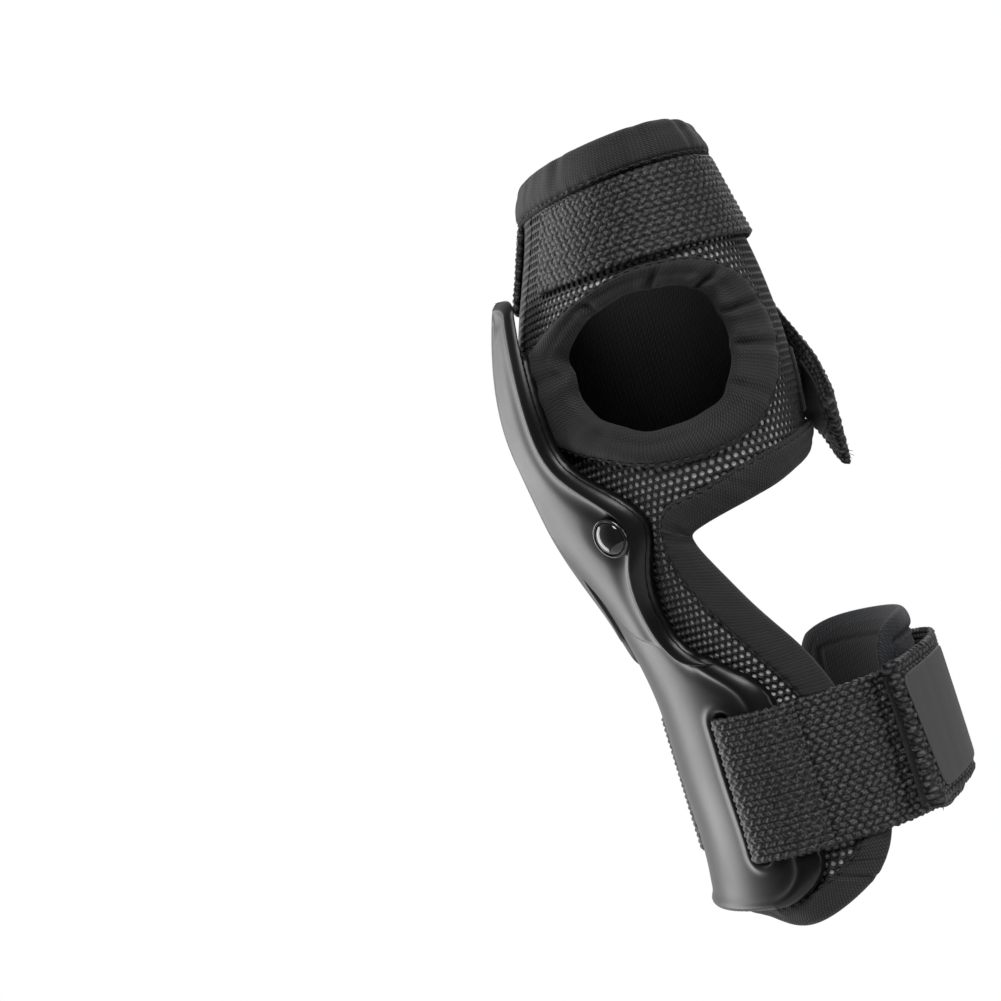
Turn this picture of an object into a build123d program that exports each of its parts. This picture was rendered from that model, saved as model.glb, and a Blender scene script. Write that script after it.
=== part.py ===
"""Wrist guard for the right hand: a palm splint, a padded sleeve, a hand strap and a forearm cuff.

Frame, in millimetres: the origin is the centre of the wrist, +Z points to the fingers, -X is the
palm side, +X the back of the hand, -Y the thumb (radial) side and +Y the little-finger side.
Angles round the arm are degrees: 0 on the back, 90 on the thumb side, 180 on the palm side.
"""

from build123d import *
import os
from math import asin, cos, degrees, radians, sin

# ---- Driving dimensions ------------------------------------------------------------------------

LINING_T = 0.8  # comfort lining
FOAM_T = 3.3
MESH_T = 1.0
LAYER_GAP = 0.05  # between two layers that lie on each other
LAMINATE_T = LINING_T + FOAM_T + MESH_T
EDGE_PROUD = 0.8  # neoprene edges stand this far out of the laminate on both faces

TONGUE_T = 2.5
CAP_T = 1.5
SPLINT_TOP_Z = 83.0
TONGUE_TOP_Z = 70.0
CAP_OVERHANG = 1.0  # the cap's rim stands out of the tongue's edge
RIM_FROM_Z = -18.0  # the overhang stops here, under the cap's lower edge
TOP_ARC_MARGIN = 3.0  # the outline's last point stays this far under its rounded top

TOP_Z = 112.5  # fingers' end of the sleeve
TOP_SEAM_Z = 102.2
NOTCH_SPLIT_Z = 10.3  # the wrist's edging ends here, and the two facings begin
FOOT_SPLIT_Z = -73.0  # the facings end here, and the crescent at the foot begins

CUFF_TOP_Z = -34.0  # 38 mm webbing, in the frame of the forearm
CUFF_BOTTOM_Z = -71.5
CUFF_WEBBING_T = 1.6
TAPE_INSET = 2.0  # hook and loop tapes are this much narrower than the webbing, each side
SLOT_LENGTH = 40.0
SLOT_WIDTH = 4.5
SLOT_Y = 24.0
SLOT_Z = -53.0

HAND_STRAP_LOW_Z = 80.0  # 25 mm webbing, where it lies square to the hand
HAND_STRAP_TOP_Z = 101.5
HAND_STRAP_W = 25.0
HAND_WEBBING_T = 1.6
HAND_STRAP_OFF = 0.6  # clearance under the webbing
RING_TO_STRAP_GAP = 0.6
STRAP_PALM_END_X = -33.0  # both ends are sewn down under the cap's sides
STRAP_OVERLAP_Y = 8.0  # the thumb side's half ends here on the back of the hand
STRAP_TURN_X, STRAP_TURN_Y = -12.0, 36.0  # where the little-finger side's half turns down
STRAP_TURN_STEP = 4.0

HOOK_T = 0.9
LOOP_T = 0.8

RIVET_Y = 23.4
RIVET_Z = 17.0
RIVET_HEAD_R = 5.3
RIVET_HEAD_H = 2.0
RIVET_SHANK_R = 2.0
RIVET_DEPTH = 9.6  # from the cap's outside to the back of the washer
WASHER_R = 4.6
WASHER_T = 1.0
RIVET_ROW_Z = 18.0  # the tongue's section that the rivets stand on, and its neighbours
ROW_UNDER_Z, ROW_OVER_Z = 5.0, 35.0
HOLE_CLEARANCE = 0.06

FAR = 90.0  # past the part in every direction

# Outside of the mesh shell: height, centre x, half depth (palm to back), half breadth.
SLEEVE = [
    (120.0, -10.0, 20.5, 43.5),
    (112.0, -10.0, 21.0, 44.5),
    (101.0, -10.5, 22.5, 46.0),
    (80.0, -12.0, 29.0, 47.5),
    (60.0, -13.5, 33.3, 47.5),
    (40.0, -13.0, 32.7, 46.0),
    (22.0, -12.5, 31.0, 42.0),
    (10.0, -10.0, 30.5, 38.5),
    (0.0, -6.5, 31.0, 37.4),
    (-18.0, -2.8, 31.0, 37.0),
    (-32.0, -1.0, 31.2, 37.0),
    (-60.0, -1.0, 31.2, 37.0),
    (-76.0, -1.0, 31.2, 37.0),
    (-98.0, -1.0, 32.5, 38.0),
]
CUFF_CX, CUFF_AX, CUFF_AY = SLEEVE[10][1:]

# Outside of the splint's tongue, the same four numbers.
TONGUE = [
    (92.0, -12.0, 31.0, 39.0),
    (70.0, -13.0, 37.5, 40.0),
    (50.0, -13.5, 40.2, 40.0),
    (35.0, -13.0, 39.2, 40.0),
    (18.0, -11.5, 37.7, 40.0),
    (5.0, -8.0, 37.2, 40.0),
    (-5.0, -5.0, 36.7, 40.0),
    (-15.0, -3.0, 36.2, 40.5),
    (-30.0, -1.2, 35.8, 41.5),
    (-50.0, -1.0, 35.8, 41.5),
    (-74.0, -1.0, 35.8, 41.5),
    (-90.0, -1.0, 38.5, 42.5),
]

# Half outline of the splint seen from the palm (half width, height): down to the straight bars.
SPLINT_HALF = [
    (9.5, 78.0),
    (13.5, 66.0),
    (16.0, 50.0),
    (18.5, 37.0),
    (26.0, 28.0),
    (30.0, 18.0),
    (24.0, 5.0),
    (19.7, -6.0),
    (21.7, -15.0),
    (27.0, -21.0),
    (32.0, -27.0),
]
BAR_HALF_Y = 34.0
BAR_TOP_Z, BAR_FOOT_Z = -35.0, -73.0
SPLINT_FOOT_Z = -84.0
FOOT_CORNER_R = 10.0

# Lower edge of the cap seen from the palm: half an inverted V with hollow sides.
CAP_STEP = [(0.0, 10.0), (3.3, -2.0), (12.3, -12.0), (20.2, -18.0), (28.0, -21.0)]

# Free edge of the laminate seen from the side (x, z): back of the wrist, notch, front edge, foot.
WRIST_EDGE = [(18.0, 24.0), (8.0, 20.5), (-1.5, 18.0), (-17.0, 15.0), (-25.5, 12.6)]
FRONT_EDGE = [(-25.5, 8.0), (-17.5, -7.0), (-9.2, -20.0), (-3.0, -32.5), (1.5, -50.0), (2.2, -68.0)]
FOOT_EDGE = [(-3.0, -79.0), (-11.0, -85.0), (-24.0, -90.5), (-37.0, -86.0)]

# Seam between the laminate and its neoprene edge, the same way round.
WRIST_SEAM = [(18.0, 31.5), (7.4, 29.0), (-13.0, 25.0), (-24.0, 22.3), (-31.0, 20.0)]
FRONT_SEAM = [(-32.0, 10.0), (-27.9, -3.0), (-19.9, -20.0), (-13.6, -32.0), (-9.0, -48.0), (-8.0, -68.0)]
FOOT_SEAM = [(-13.0, -76.5), (-20.0, -80.5), (-28.0, -82.5), (-37.0, -79.0)]

# Thumb hole seen from the side: centre x, z and half sizes.
THUMB_HOLE = (-22.6, 57.0, 18.7, 16.0)
THUMB_SEAM = (-20.0, 54.5, 27.5, 24.5)

# Cuff layers round the forearm: angles in degrees and offsets from the sleeve's outside.
ANCHOR_END = 113.0
CUFF_JOINT_GAP = 0.6  # degrees between an anchor and the strap that bends from it
OVER_BAR_OFF = 5.3
UNDER_BAR_OFF = 0.45
UNDER_BAR_T = 0.9
SIDE_OFF = 1.3
SEWN_T = 3.2  # the anchor's two layers where they are sewn together
# The anchor's fold round the bar, in y and x.
FOLD_Y = (22.3, 23.8)
FOLD_X = (-33.2, -26.8)
RADIAL_DORSAL_OFF = 0.3
RADIAL_STRAP_END = -22.0
LOOP_START, LOOP_END = 72.0, -22.0
ULNAR_DORSAL_OFF = 4.2
TAB_ROOT, TAB_END = 14.0, 68.0
HOOK_START, HOOK_END = 18.0, 65.0
LABEL_START, LABEL_END = 24.0, 62.0
LABEL_T = 0.6
LABEL_HALF_H = 15.0
PAD_SPAN = 76.0  # half angle of the comfort pad
PAD_T = 5.0
PAD_LINER_T = 0.7
PAD_TOP_Z, PAD_FOOT_Z = -22.0, -74.0
PAD_CORNER_R = 9.0
PAD_BREADTH = 66.0
PAD_SINK = 0.2  # the gap between the cuff's webbing and the pad under it

# Hand tab: it follows the back of the hand and lifts away from it towards the tip.
TAB_DIRECTION = 225.0  # degrees in the YZ plane, from +Y towards +Z
TAB_LENGTH = 30.0
TAB_T = 3.2
TAB_GAP = 0.6  # between the strap's end and the tab
TAB_CORNER_R = 2.0
# Underside of its webbing, as sections like the sleeve's.
HAND_TAB = [
    (62.0, -13.4, 35.6, 49.9),
    (48.0, -13.3, 35.5, 49.2),
    (30.0, -12.7, 36.6, 48.8),
    (8.0, -10.5, 38.4, 47.5),
]
TAB_ROOT_Y, TAB_ROOT_Z = -2.0, 48.0
HOOK_INSET = 4.0  # the hook tape stays this far inside the tab's two ends
# The loop tape on the back of the hand that the tab's hook grips.
LOOP_PATCH_Y = (-24.0, -4.0)
LOOP_PATCH_Z = (33.0, 50.0)
LOOP_PATCH_OFF = 0.1


# ---- Shared shapes -----------------------------------------------------------------------------


def lofted(sections, grow):
    """A smooth solid through ellipses, each grown by the same amount all round."""
    return loft([Pos(cx, 0, z) * Ellipse(ax + grow, ay + grow) for z, cx, ax, ay in sections])


def between(sections, low, high):
    """The layer between two offsets of a lofted surface."""
    return lofted(sections, high) - lofted(sections, low)


def side_ellipse(centre_x, centre_z, half_x, half_z):
    """An elliptical hole through the thumb side only."""
    outline = Plane((centre_x, 0, centre_z), x_dir=(1, 0, 0), z_dir=(0, -1, 0)) * Ellipse(half_x, half_z)
    return extrude(outline, amount=FAR, dir=(0, -1, 0))


def slab(low_z, high_z, low_y=-FAR, high_y=FAR, low_x=-FAR, high_x=FAR):
    """A box given by its limits."""
    size = (high_x - low_x, high_y - low_y, high_z - low_z)
    centre = ((high_x + low_x) / 2, (high_y + low_y) / 2, (high_z + low_z) / 2)
    return Pos(*centre) * Box(*size)


def smooth_outline(edges):
    """Side outline of the laminate through one free edge or seam, closed round the palm and the top."""
    wrist, front, foot = edges
    back = Line((FAR, 0, wrist[0][1]), (wrist[0][0], 0, wrist[0][1]))
    curve = Spline([(x, 0, z) for x, z in wrist + front + foot])
    foot_x, foot_z = foot[-1]
    rest = Polyline(
        (foot_x, 0, foot_z), (-FAR, 0, foot_z), (-FAR, 0, FAR * 2), (FAR, 0, FAR * 2), (FAR, 0, wrist[0][1])
    )
    return extrude(make_face([back, curve, rest]), amount=FAR, dir=(0, 1, 0), both=True)


# ---- Padded sleeve -----------------------------------------------------------------------------


def sleeve_layers(rivet_axes):
    """The laminate's three layers, without its edges, and with the rivets' holes."""
    inside = slab(-FAR * 2, TOP_SEAM_Z) & smooth_outline([WRIST_SEAM, FRONT_SEAM, FOOT_SEAM])
    inside -= side_ellipse(*THUMB_SEAM)
    foam_low = LINING_T - LAMINATE_T
    lining = between(SLEEVE, -LAMINATE_T, foam_low - LAYER_GAP) & inside
    foam = between(SLEEVE, foam_low, -MESH_T - LAYER_GAP) & inside
    mesh = between(SLEEVE, -MESH_T, 0) & inside
    for axis in rivet_axes:
        shank = axis * Pos(0, 0, -FAR / 4) * Cylinder(RIVET_SHANK_R + HOLE_CLEARANCE, FAR / 2)
        mesh -= shank
        foam -= shank
        foam -= washer(axis, HOLE_CLEARANCE, bored=False)
    return {"comfort_lining": lining, "foam_core": foam, "mesh_shell": mesh}


def sleeve_edges():
    """The neoprene edges: they take the laminate's whole thickness and stand proud of it."""
    rim = between(SLEEVE, -LAMINATE_T - EDGE_PROUD, EDGE_PROUD)
    edge = rim & smooth_outline([WRIST_EDGE, FRONT_EDGE, FOOT_EDGE])
    edge -= smooth_outline([WRIST_SEAM, FRONT_SEAM, FOOT_SEAM])
    thumb_ring = rim & (side_ellipse(*THUMB_SEAM) - side_ellipse(*THUMB_HOLE))
    return {
        "top_binding": rim & slab(TOP_SEAM_Z + LAYER_GAP, TOP_Z),
        "thumb_hole_binding": thumb_ring & slab(0, HAND_STRAP_LOW_Z - RING_TO_STRAP_GAP),
        "dorsal_wrist_binding": edge & slab(NOTCH_SPLIT_Z, FAR),
        "radial_edge_facing": edge & slab(FOOT_SPLIT_Z, NOTCH_SPLIT_Z - LAYER_GAP, high_y=0),
        "ulnar_edge_facing": edge & slab(FOOT_SPLIT_Z, NOTCH_SPLIT_Z - LAYER_GAP, low_y=0),
        "forearm_end_binding": edge & slab(-FAR * 2, FOOT_SPLIT_Z - LAYER_GAP),
    }


# ---- Palm splint -------------------------------------------------------------------------------


def splint_outline(inset, top_z):
    """Palm-side prism of the splint, narrowed by inset under the cap and rounded off at top_z."""
    half = [(y - (inset if z > RIM_FROM_Z else 0), z) for y, z in SPLINT_HALF if z < top_z - TOP_ARC_MARGIN]
    foot = BAR_HALF_Y - FOOT_CORNER_R
    edges = []
    for side in (1, -1):
        shaped = [(0, side * y, z) for y, z in half + [(BAR_HALF_Y, BAR_TOP_Z)]]
        start = (half[1][0] - half[0][0], half[1][1] - half[0][1])
        edges.append(Spline(shaped, tangents=[(0, side * start[0], start[1]), (0, 0, -1)]))
        bar_foot = (0, side * BAR_HALF_Y, BAR_FOOT_Z)
        corner = (0, side * foot, SPLINT_FOOT_Z)
        edges.append(Line((0, side * BAR_HALF_Y, BAR_TOP_Z), bar_foot))
        edges.append(Spline([bar_foot, corner], tangents=[(0, 0, -1), (0, -side, 0)]))
    edges.append(Line((0, foot, SPLINT_FOOT_Z), (0, -foot, SPLINT_FOOT_Z)))
    edges.append(ThreePointArc((0, -half[0][0], half[0][1]), (0, 0, top_z), (0, half[0][0], half[0][1])))
    return extrude(make_face(edges), amount=FAR, dir=(-1, 0, 0))


def below_step():
    """Everything under the cap's lower edge, as a palm-side prism."""
    edge = [(0, -y, z) for y, z in reversed(CAP_STEP)] + [(0, y, z) for y, z in CAP_STEP[1:]]
    curve = Spline(edge)
    end_y, end_z = CAP_STEP[-1]
    right = [(end_y, end_z), (FAR, end_z), (FAR, -FAR * 2)]
    corners = right + [(-y, z) for y, z in reversed(right)]
    rest = Polyline([(0, y, z) for y, z in corners])
    return extrude(make_face([curve, rest]), amount=FAR, dir=(-1, 0, 0))


def strap_slots():
    """The two long slots that the cuff's webbing goes through."""
    outline = Plane.YZ * Pos(0, SLOT_Z) * Rot(0, 0, 90) * SlotOverall(SLOT_LENGTH, SLOT_WIDTH)
    return [extrude(Pos(0, side * SLOT_Y, 0) * outline, amount=FAR, dir=(-1, 0, 0)) for side in (-1, 1)]


def rivet_frames():
    """One location for each rivet: on the cap's outside, Z pointing square out of it."""
    rows = {z: (cx, ax + CAP_T, ay + CAP_T) for z, cx, ax, ay in TONGUE}
    centre_x, half_x, half_y = rows[RIVET_ROW_Z]
    turn = asin(RIVET_Y / half_y)
    low_x, high_x = (rows[z][0] - rows[z][1] * cos(turn) for z in (ROW_UNDER_Z, ROW_OVER_Z))
    slope = (high_x - low_x) / (ROW_OVER_Z - ROW_UNDER_Z)
    x = centre_x - half_x * cos(turn)
    frames = []
    for side in (-1, 1):
        normal = (-1, side * (sin(turn) / half_y) / (cos(turn) / half_x), slope)
        frames.append(Plane((x, side * RIVET_Y, RIVET_Z), z_dir=normal).location)
    return frames


def washer(axis, grow, bored=True):
    """A backing washer sunk in the foam, against the lining."""
    depth = -RIVET_DEPTH + WASHER_T / 2
    disc = Cylinder(WASHER_R + grow, WASHER_T + 2 * grow)
    if bored:
        disc -= Cylinder(RIVET_SHANK_R + HOLE_CLEARANCE, WASHER_T * 3)
    return axis * Pos(0, 0, depth) * disc


def rivet(axis):
    """A domed head on a plain shank."""
    sphere_r = (RIVET_HEAD_R**2 + RIVET_HEAD_H**2) / (2 * RIVET_HEAD_H)
    dome = Pos(0, 0, RIVET_HEAD_H - sphere_r) * Sphere(sphere_r)
    dome &= Pos(0, 0, FAR / 2 + HOLE_CLEARANCE) * Box(FAR, FAR, FAR)
    shank = Pos(0, 0, (RIVET_HEAD_H / 2 - RIVET_DEPTH) / 2) * Cylinder(
        RIVET_SHANK_R, RIVET_DEPTH + RIVET_HEAD_H / 2
    )
    return axis * (dome + shank)


def splint_parts(rivet_axes):
    """The tongue, the cap over it, and the rivets and washers that hold both to the sleeve."""
    slots = strap_slots()
    tongue = between(TONGUE, -TONGUE_T, 0) & splint_outline(CAP_OVERHANG, TONGUE_TOP_Z)
    tongue -= slots
    cap = between(TONGUE, LAYER_GAP, CAP_T) & splint_outline(0, SPLINT_TOP_Z)
    cap -= below_step()
    holes = [axis * Cylinder(RIVET_SHANK_R + HOLE_CLEARANCE, FAR / 2) for axis in rivet_axes]
    tongue -= holes
    cap -= holes
    return {
        "palm_splint": tongue,
        "palm_cap": cap,
        "splint_rivets": Compound([rivet(axis) for axis in rivet_axes]),
        "rivet_washers": Compound([washer(axis, 0) for axis in rivet_axes]),
    }


# ---- Hand strap --------------------------------------------------------------------------------


def hand_strap():
    """Webbing round the hand: a radial half, and an ulnar half that runs down to the tab."""
    webbing = between(SLEEVE, HAND_STRAP_OFF, HAND_STRAP_OFF + HAND_WEBBING_T)
    low_z, top_z = HAND_STRAP_LOW_Z, HAND_STRAP_TOP_Z
    radial = webbing & slab(low_z, top_z, high_y=STRAP_OVERLAP_Y, low_x=STRAP_PALM_END_X)
    ulnar_side = slab(low_z, top_z, low_y=0, low_x=STRAP_PALM_END_X, high_x=STRAP_TURN_X)
    half_w = HAND_STRAP_W / 2
    along = (cos(radians(TAB_DIRECTION)), sin(radians(TAB_DIRECTION)))
    across = (-along[1], along[0])
    end = [
        (TAB_ROOT_Y + side * half_w * across[0], TAB_ROOT_Z + side * half_w * across[1]) for side in (-1, 1)
    ]
    outline = Polyline(
        (0, FAR, top_z),
        (0, STRAP_TURN_Y, top_z),
        (0, *end[0]),
        (0, *end[1]),
        (0, STRAP_TURN_Y - STRAP_TURN_STEP, low_z),
        (0, FAR, low_z),
        close=True,
    )
    diagonal = extrude(make_face(outline), amount=FAR, dir=(1, 0, 0))
    diagonal += Pos(STRAP_TURN_X, 0, 0) * extrude(make_face(outline), amount=-STRAP_TURN_X, dir=(1, 0, 0))
    ulnar = webbing & (ulnar_side + diagonal)
    return {"hand_strap_radial": radial, "hand_strap_ulnar": ulnar}


def tab_window(start, end, half_width):
    """A prism along X over the tab, from start to end along it."""
    outline = Pos(TAB_ROOT_Y, TAB_ROOT_Z) * Rot(0, 0, TAB_DIRECTION) * Pos((start + end) / 2, 0)
    outline *= RectangleRounded(end - start, 2 * half_width, TAB_CORNER_R)
    return extrude(Plane.YZ * outline, amount=FAR, dir=(1, 0, 0))


def hand_tab():
    """The folded free end, the hook tape under it and the loop tape on the sleeve."""
    half_w = HAND_STRAP_W / 2
    tab_end = TAB_GAP + TAB_LENGTH
    body = between(HAND_TAB, 0, TAB_T) & tab_window(TAB_GAP, tab_end, half_w)
    hook_window = tab_window(HOOK_INSET, tab_end - HOOK_INSET, half_w - TAPE_INSET)
    hook = between(HAND_TAB, -HOOK_T - LAYER_GAP, -LAYER_GAP) & hook_window
    patch = between(SLEEVE, LOOP_PATCH_OFF, LOOP_T) & slab(*LOOP_PATCH_Z, *LOOP_PATCH_Y, low_x=0)
    return {"hand_strap_tab": body, "hand_tab_hook": hook, "hand_loop_patch": patch}


# ---- Forearm cuff ------------------------------------------------------------------------------


def round_point(angle, off):
    """A point round the forearm, off millimetres outside the sleeve."""
    turn = radians(angle)
    return (CUFF_CX + (CUFF_AX + off) * cos(turn), -(CUFF_AY + off) * sin(turn))


def wrap(route, thickness, low_z=CUFF_BOTTOM_Z, high_z=CUFF_TOP_Z):
    """A band standing on its edge: route is (angle, offset) pairs along its inner face."""
    inner = Spline([round_point(a, off) for a, off in route])
    outer = Spline([round_point(a, off + thickness) for a, off in route])
    face = make_face([inner, Line(inner @ 1, outer @ 1), outer, Line(outer @ 0, inner @ 0)])
    return Pos(0, 0, low_z) * extrude(face, amount=high_z - low_z, dir=(0, 0, 1))


def steps(start, stop, off, count=6):
    """A stretch of constant offset, as route points."""
    return [(start + (stop - start) * i / (count - 1), off) for i in range(count)]


def mirrored(route):
    """The same route on the other side of the arm."""
    return [(-angle, off) for angle, off in route]


def anchor(side):
    """Webbing that goes through a slot, round its bar and back, sewn to itself past the bar."""
    over = steps(148.5, 127.0, OVER_BAR_OFF, 4) + [(122.0, 5.1), (ANCHOR_END, 3.2)]
    under = steps(144.5, 127.0, UNDER_BAR_OFF, 4) + [(120.0, 0.9), (ANCHOR_END, SIDE_OFF)]
    sewn = [(ANCHOR_END + 4.0, 1.0), (ANCHOR_END + 2.0, 1.1), (ANCHOR_END, SIDE_OFF)]
    fold_y = sorted(side * y for y in FOLD_Y)
    solid = slab(CUFF_BOTTOM_Z, CUFF_TOP_Z, *fold_y, *FOLD_X)
    for route, thickness in [(over, CUFF_WEBBING_T), (under, UNDER_BAR_T), (sewn, SEWN_T)]:
        solid += wrap(route if side < 0 else mirrored(route), thickness)
    return solid


def cuff():
    """The two halves of the cuff, the loop field, and the free tab with its hook and label."""
    beside_bar = [(ANCHOR_END - CUFF_JOINT_GAP, SIDE_OFF + 1.0), (104.0, SIDE_OFF), (94.0, SIDE_OFF)]
    radial_route = beside_bar + [(84.0, 1.1)] + steps(74.0, RADIAL_STRAP_END, RADIAL_DORSAL_OFF, 8)
    loop_off = RADIAL_DORSAL_OFF + CUFF_WEBBING_T + LAYER_GAP
    ulnar_route = mirrored(beside_bar + [(80.0, 2.0), (66.0, 3.4)])
    ulnar_route += steps(-54.0, TAB_ROOT - CUFF_JOINT_GAP, ULNAR_DORSAL_OFF, 6)
    hook_off = ULNAR_DORSAL_OFF - LAYER_GAP - HOOK_T
    label_off = ULNAR_DORSAL_OFF + CUFF_WEBBING_T + LAYER_GAP
    middle = (CUFF_TOP_Z + CUFF_BOTTOM_Z) / 2
    tape_z = (CUFF_BOTTOM_Z + TAPE_INSET, CUFF_TOP_Z - TAPE_INSET)
    label_z = (middle - LABEL_HALF_H, middle + LABEL_HALF_H)
    return {
        "radial_strap_anchor": anchor(-1),
        "ulnar_strap_anchor": anchor(1),
        "radial_cuff_strap": wrap(radial_route, CUFF_WEBBING_T),
        "ulnar_cuff_strap": wrap(ulnar_route, CUFF_WEBBING_T),
        "cuff_loop_field": wrap(steps(LOOP_START, LOOP_END, loop_off), LOOP_T, *tape_z),
        "cuff_tab": wrap(steps(TAB_ROOT, TAB_END, ULNAR_DORSAL_OFF), CUFF_WEBBING_T),
        "cuff_tab_hook": wrap(steps(HOOK_START, HOOK_END, hook_off), HOOK_T, *tape_z),
        "cuff_label_patch": wrap(steps(LABEL_START, LABEL_END, label_off), LABEL_T, *label_z),
    }


def comfort_pad():
    """The pad under the cuff on the back of the forearm, and its soft inner face."""
    pad_off = RADIAL_DORSAL_OFF - PAD_SINK - PAD_T
    liner_off = pad_off - LAYER_GAP - PAD_LINER_T
    height = PAD_TOP_Z - PAD_FOOT_Z
    middle = (PAD_TOP_Z + PAD_FOOT_Z) / 2
    outline = Plane.YZ * Pos(0, middle) * RectangleRounded(PAD_BREADTH, height, PAD_CORNER_R)
    window = extrude(outline, amount=FAR, dir=(1, 0, 0))
    span = steps(PAD_SPAN, -PAD_SPAN, pad_off, 8)
    liner_span = steps(PAD_SPAN, -PAD_SPAN, liner_off, 8)
    return {
        "dorsal_pad": wrap(span, PAD_T, PAD_FOOT_Z, PAD_TOP_Z) & window,
        "dorsal_pad_liner": wrap(liner_span, PAD_LINER_T, PAD_FOOT_Z, PAD_TOP_Z) & window,
    }


# ---- Assembly ----------------------------------------------------------------------------------


def main():
    rivet_axes = rivet_frames()
    nodes = {}
    nodes.update(sleeve_layers(rivet_axes))
    nodes.update(sleeve_edges())
    nodes.update(splint_parts(rivet_axes))
    nodes.update(hand_strap())
    nodes.update(hand_tab())
    nodes.update(cuff())
    nodes.update(comfort_pad())
    os.makedirs("parts", exist_ok=True)
    for name, shape in nodes.items():
        export_step(shape, f"parts/{name}.step")


main()
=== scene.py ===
"""The looks of the right-hand wrist guard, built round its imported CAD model.

Shapes are worked out in millimetres in the row frame and written in metres. +Z points to the fingers,
-X is the palm, +X the back of the hand and -Y the thumb side. Angles round the arm are degrees: 0 on
the back, 90 on the thumb side, 180 on the palm side.
"""

import math

import bmesh
import bpy
import numpy as np
from mathutils import Matrix, Vector


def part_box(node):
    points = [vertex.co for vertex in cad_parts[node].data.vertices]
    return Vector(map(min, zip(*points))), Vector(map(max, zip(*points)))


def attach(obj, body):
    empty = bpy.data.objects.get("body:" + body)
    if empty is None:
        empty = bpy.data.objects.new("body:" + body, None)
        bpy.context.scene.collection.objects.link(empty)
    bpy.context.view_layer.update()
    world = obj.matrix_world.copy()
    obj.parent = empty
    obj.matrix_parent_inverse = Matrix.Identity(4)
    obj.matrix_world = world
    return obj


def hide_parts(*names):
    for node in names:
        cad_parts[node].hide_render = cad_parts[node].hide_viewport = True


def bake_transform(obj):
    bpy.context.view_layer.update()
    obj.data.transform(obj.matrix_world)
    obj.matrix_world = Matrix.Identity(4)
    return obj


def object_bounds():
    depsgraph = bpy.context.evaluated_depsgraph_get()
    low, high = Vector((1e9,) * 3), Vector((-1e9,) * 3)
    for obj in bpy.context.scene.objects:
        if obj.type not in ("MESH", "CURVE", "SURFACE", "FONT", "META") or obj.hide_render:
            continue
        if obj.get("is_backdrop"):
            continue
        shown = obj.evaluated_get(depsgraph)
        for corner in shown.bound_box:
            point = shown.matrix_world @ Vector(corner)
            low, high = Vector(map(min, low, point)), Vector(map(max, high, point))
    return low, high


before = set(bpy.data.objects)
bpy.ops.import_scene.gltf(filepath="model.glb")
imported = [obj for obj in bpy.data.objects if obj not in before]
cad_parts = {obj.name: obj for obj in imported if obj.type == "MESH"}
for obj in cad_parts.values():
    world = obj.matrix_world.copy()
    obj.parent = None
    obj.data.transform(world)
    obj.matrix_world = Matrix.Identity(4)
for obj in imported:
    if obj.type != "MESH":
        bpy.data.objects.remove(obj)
cad_low, cad_high = (list(v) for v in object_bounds())

MM = 0.001


# ---- Dimensions read from the frame (mm) -------------------------------------------------------


def node_box(name):
    """A CAD node's lowest and highest corner, in millimetres."""
    low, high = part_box(name)
    return np.array(low) / MM, np.array(high) / MM


TOP_LOW, TOP_HIGH = node_box("top_binding")
TOP_Z = TOP_HIGH[2]
TOP_SEAM_Z = TOP_LOW[2]
CUFF_LOW, CUFF_HIGH = node_box("radial_cuff_strap")
CUFF_MID_Z = (CUFF_LOW[2] + CUFF_HIGH[2]) / 2
CUFF_HALF_W = (CUFF_HIGH[2] - CUFF_LOW[2]) / 2
HAND_LOW, HAND_HIGH = node_box("hand_strap_radial")
HAND_STRAP_Z = (HAND_LOW[2] + HAND_HIGH[2]) / 2
HAND_HALF_W = (HAND_HIGH[2] - HAND_LOW[2]) / 2
TONGUE_LOW, TONGUE_HIGH = node_box("palm_splint")
CAP_TOP_Z = node_box("palm_cap")[1][2]
PAD_LOW, PAD_HIGH = node_box("dorsal_pad")

# Outside of the sleeve: height, centre x, half depth, half breadth.
SLEEVE = [
    (120.0, -10.0, 20.5, 43.5),
    (112.0, -10.0, 21.0, 44.5),
    (101.0, -10.5, 22.5, 46.0),
    (80.0, -12.0, 29.0, 47.5),
    (60.0, -13.5, 33.3, 47.5),
    (40.0, -13.0, 32.7, 46.0),
    (22.0, -12.5, 31.0, 42.0),
    (10.0, -10.0, 30.5, 38.5),
    (0.0, -6.5, 31.0, 37.4),
    (-18.0, -2.8, 31.0, 37.0),
    (-32.0, -1.0, 31.2, 37.0),
    (-60.0, -1.0, 31.2, 37.0),
    (-76.0, -1.0, 31.2, 37.0),
    (-98.0, -1.0, 32.5, 38.0),
]
# Outside of the splint's tongue, the same four numbers.
TONGUE = [
    (92.0, -12.0, 31.0, 39.0),
    (70.0, -13.0, 37.5, 40.0),
    (50.0, -13.5, 40.2, 40.0),
    (35.0, -13.0, 39.2, 40.0),
    (18.0, -11.5, 37.7, 40.0),
    (5.0, -8.0, 37.2, 40.0),
    (-5.0, -5.0, 36.7, 40.0),
    (-15.0, -3.0, 36.2, 40.5),
    (-30.0, -1.2, 35.8, 41.5),
    (-50.0, -1.0, 35.8, 41.5),
    (-74.0, -1.0, 35.8, 41.5),
    (-90.0, -1.0, 38.5, 42.5),
]
CUFF_CX, CUFF_AX, CUFF_AY = SLEEVE[10][1:]
LAMINATE_T = 5.15  # mesh, foam and lining together

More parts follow.
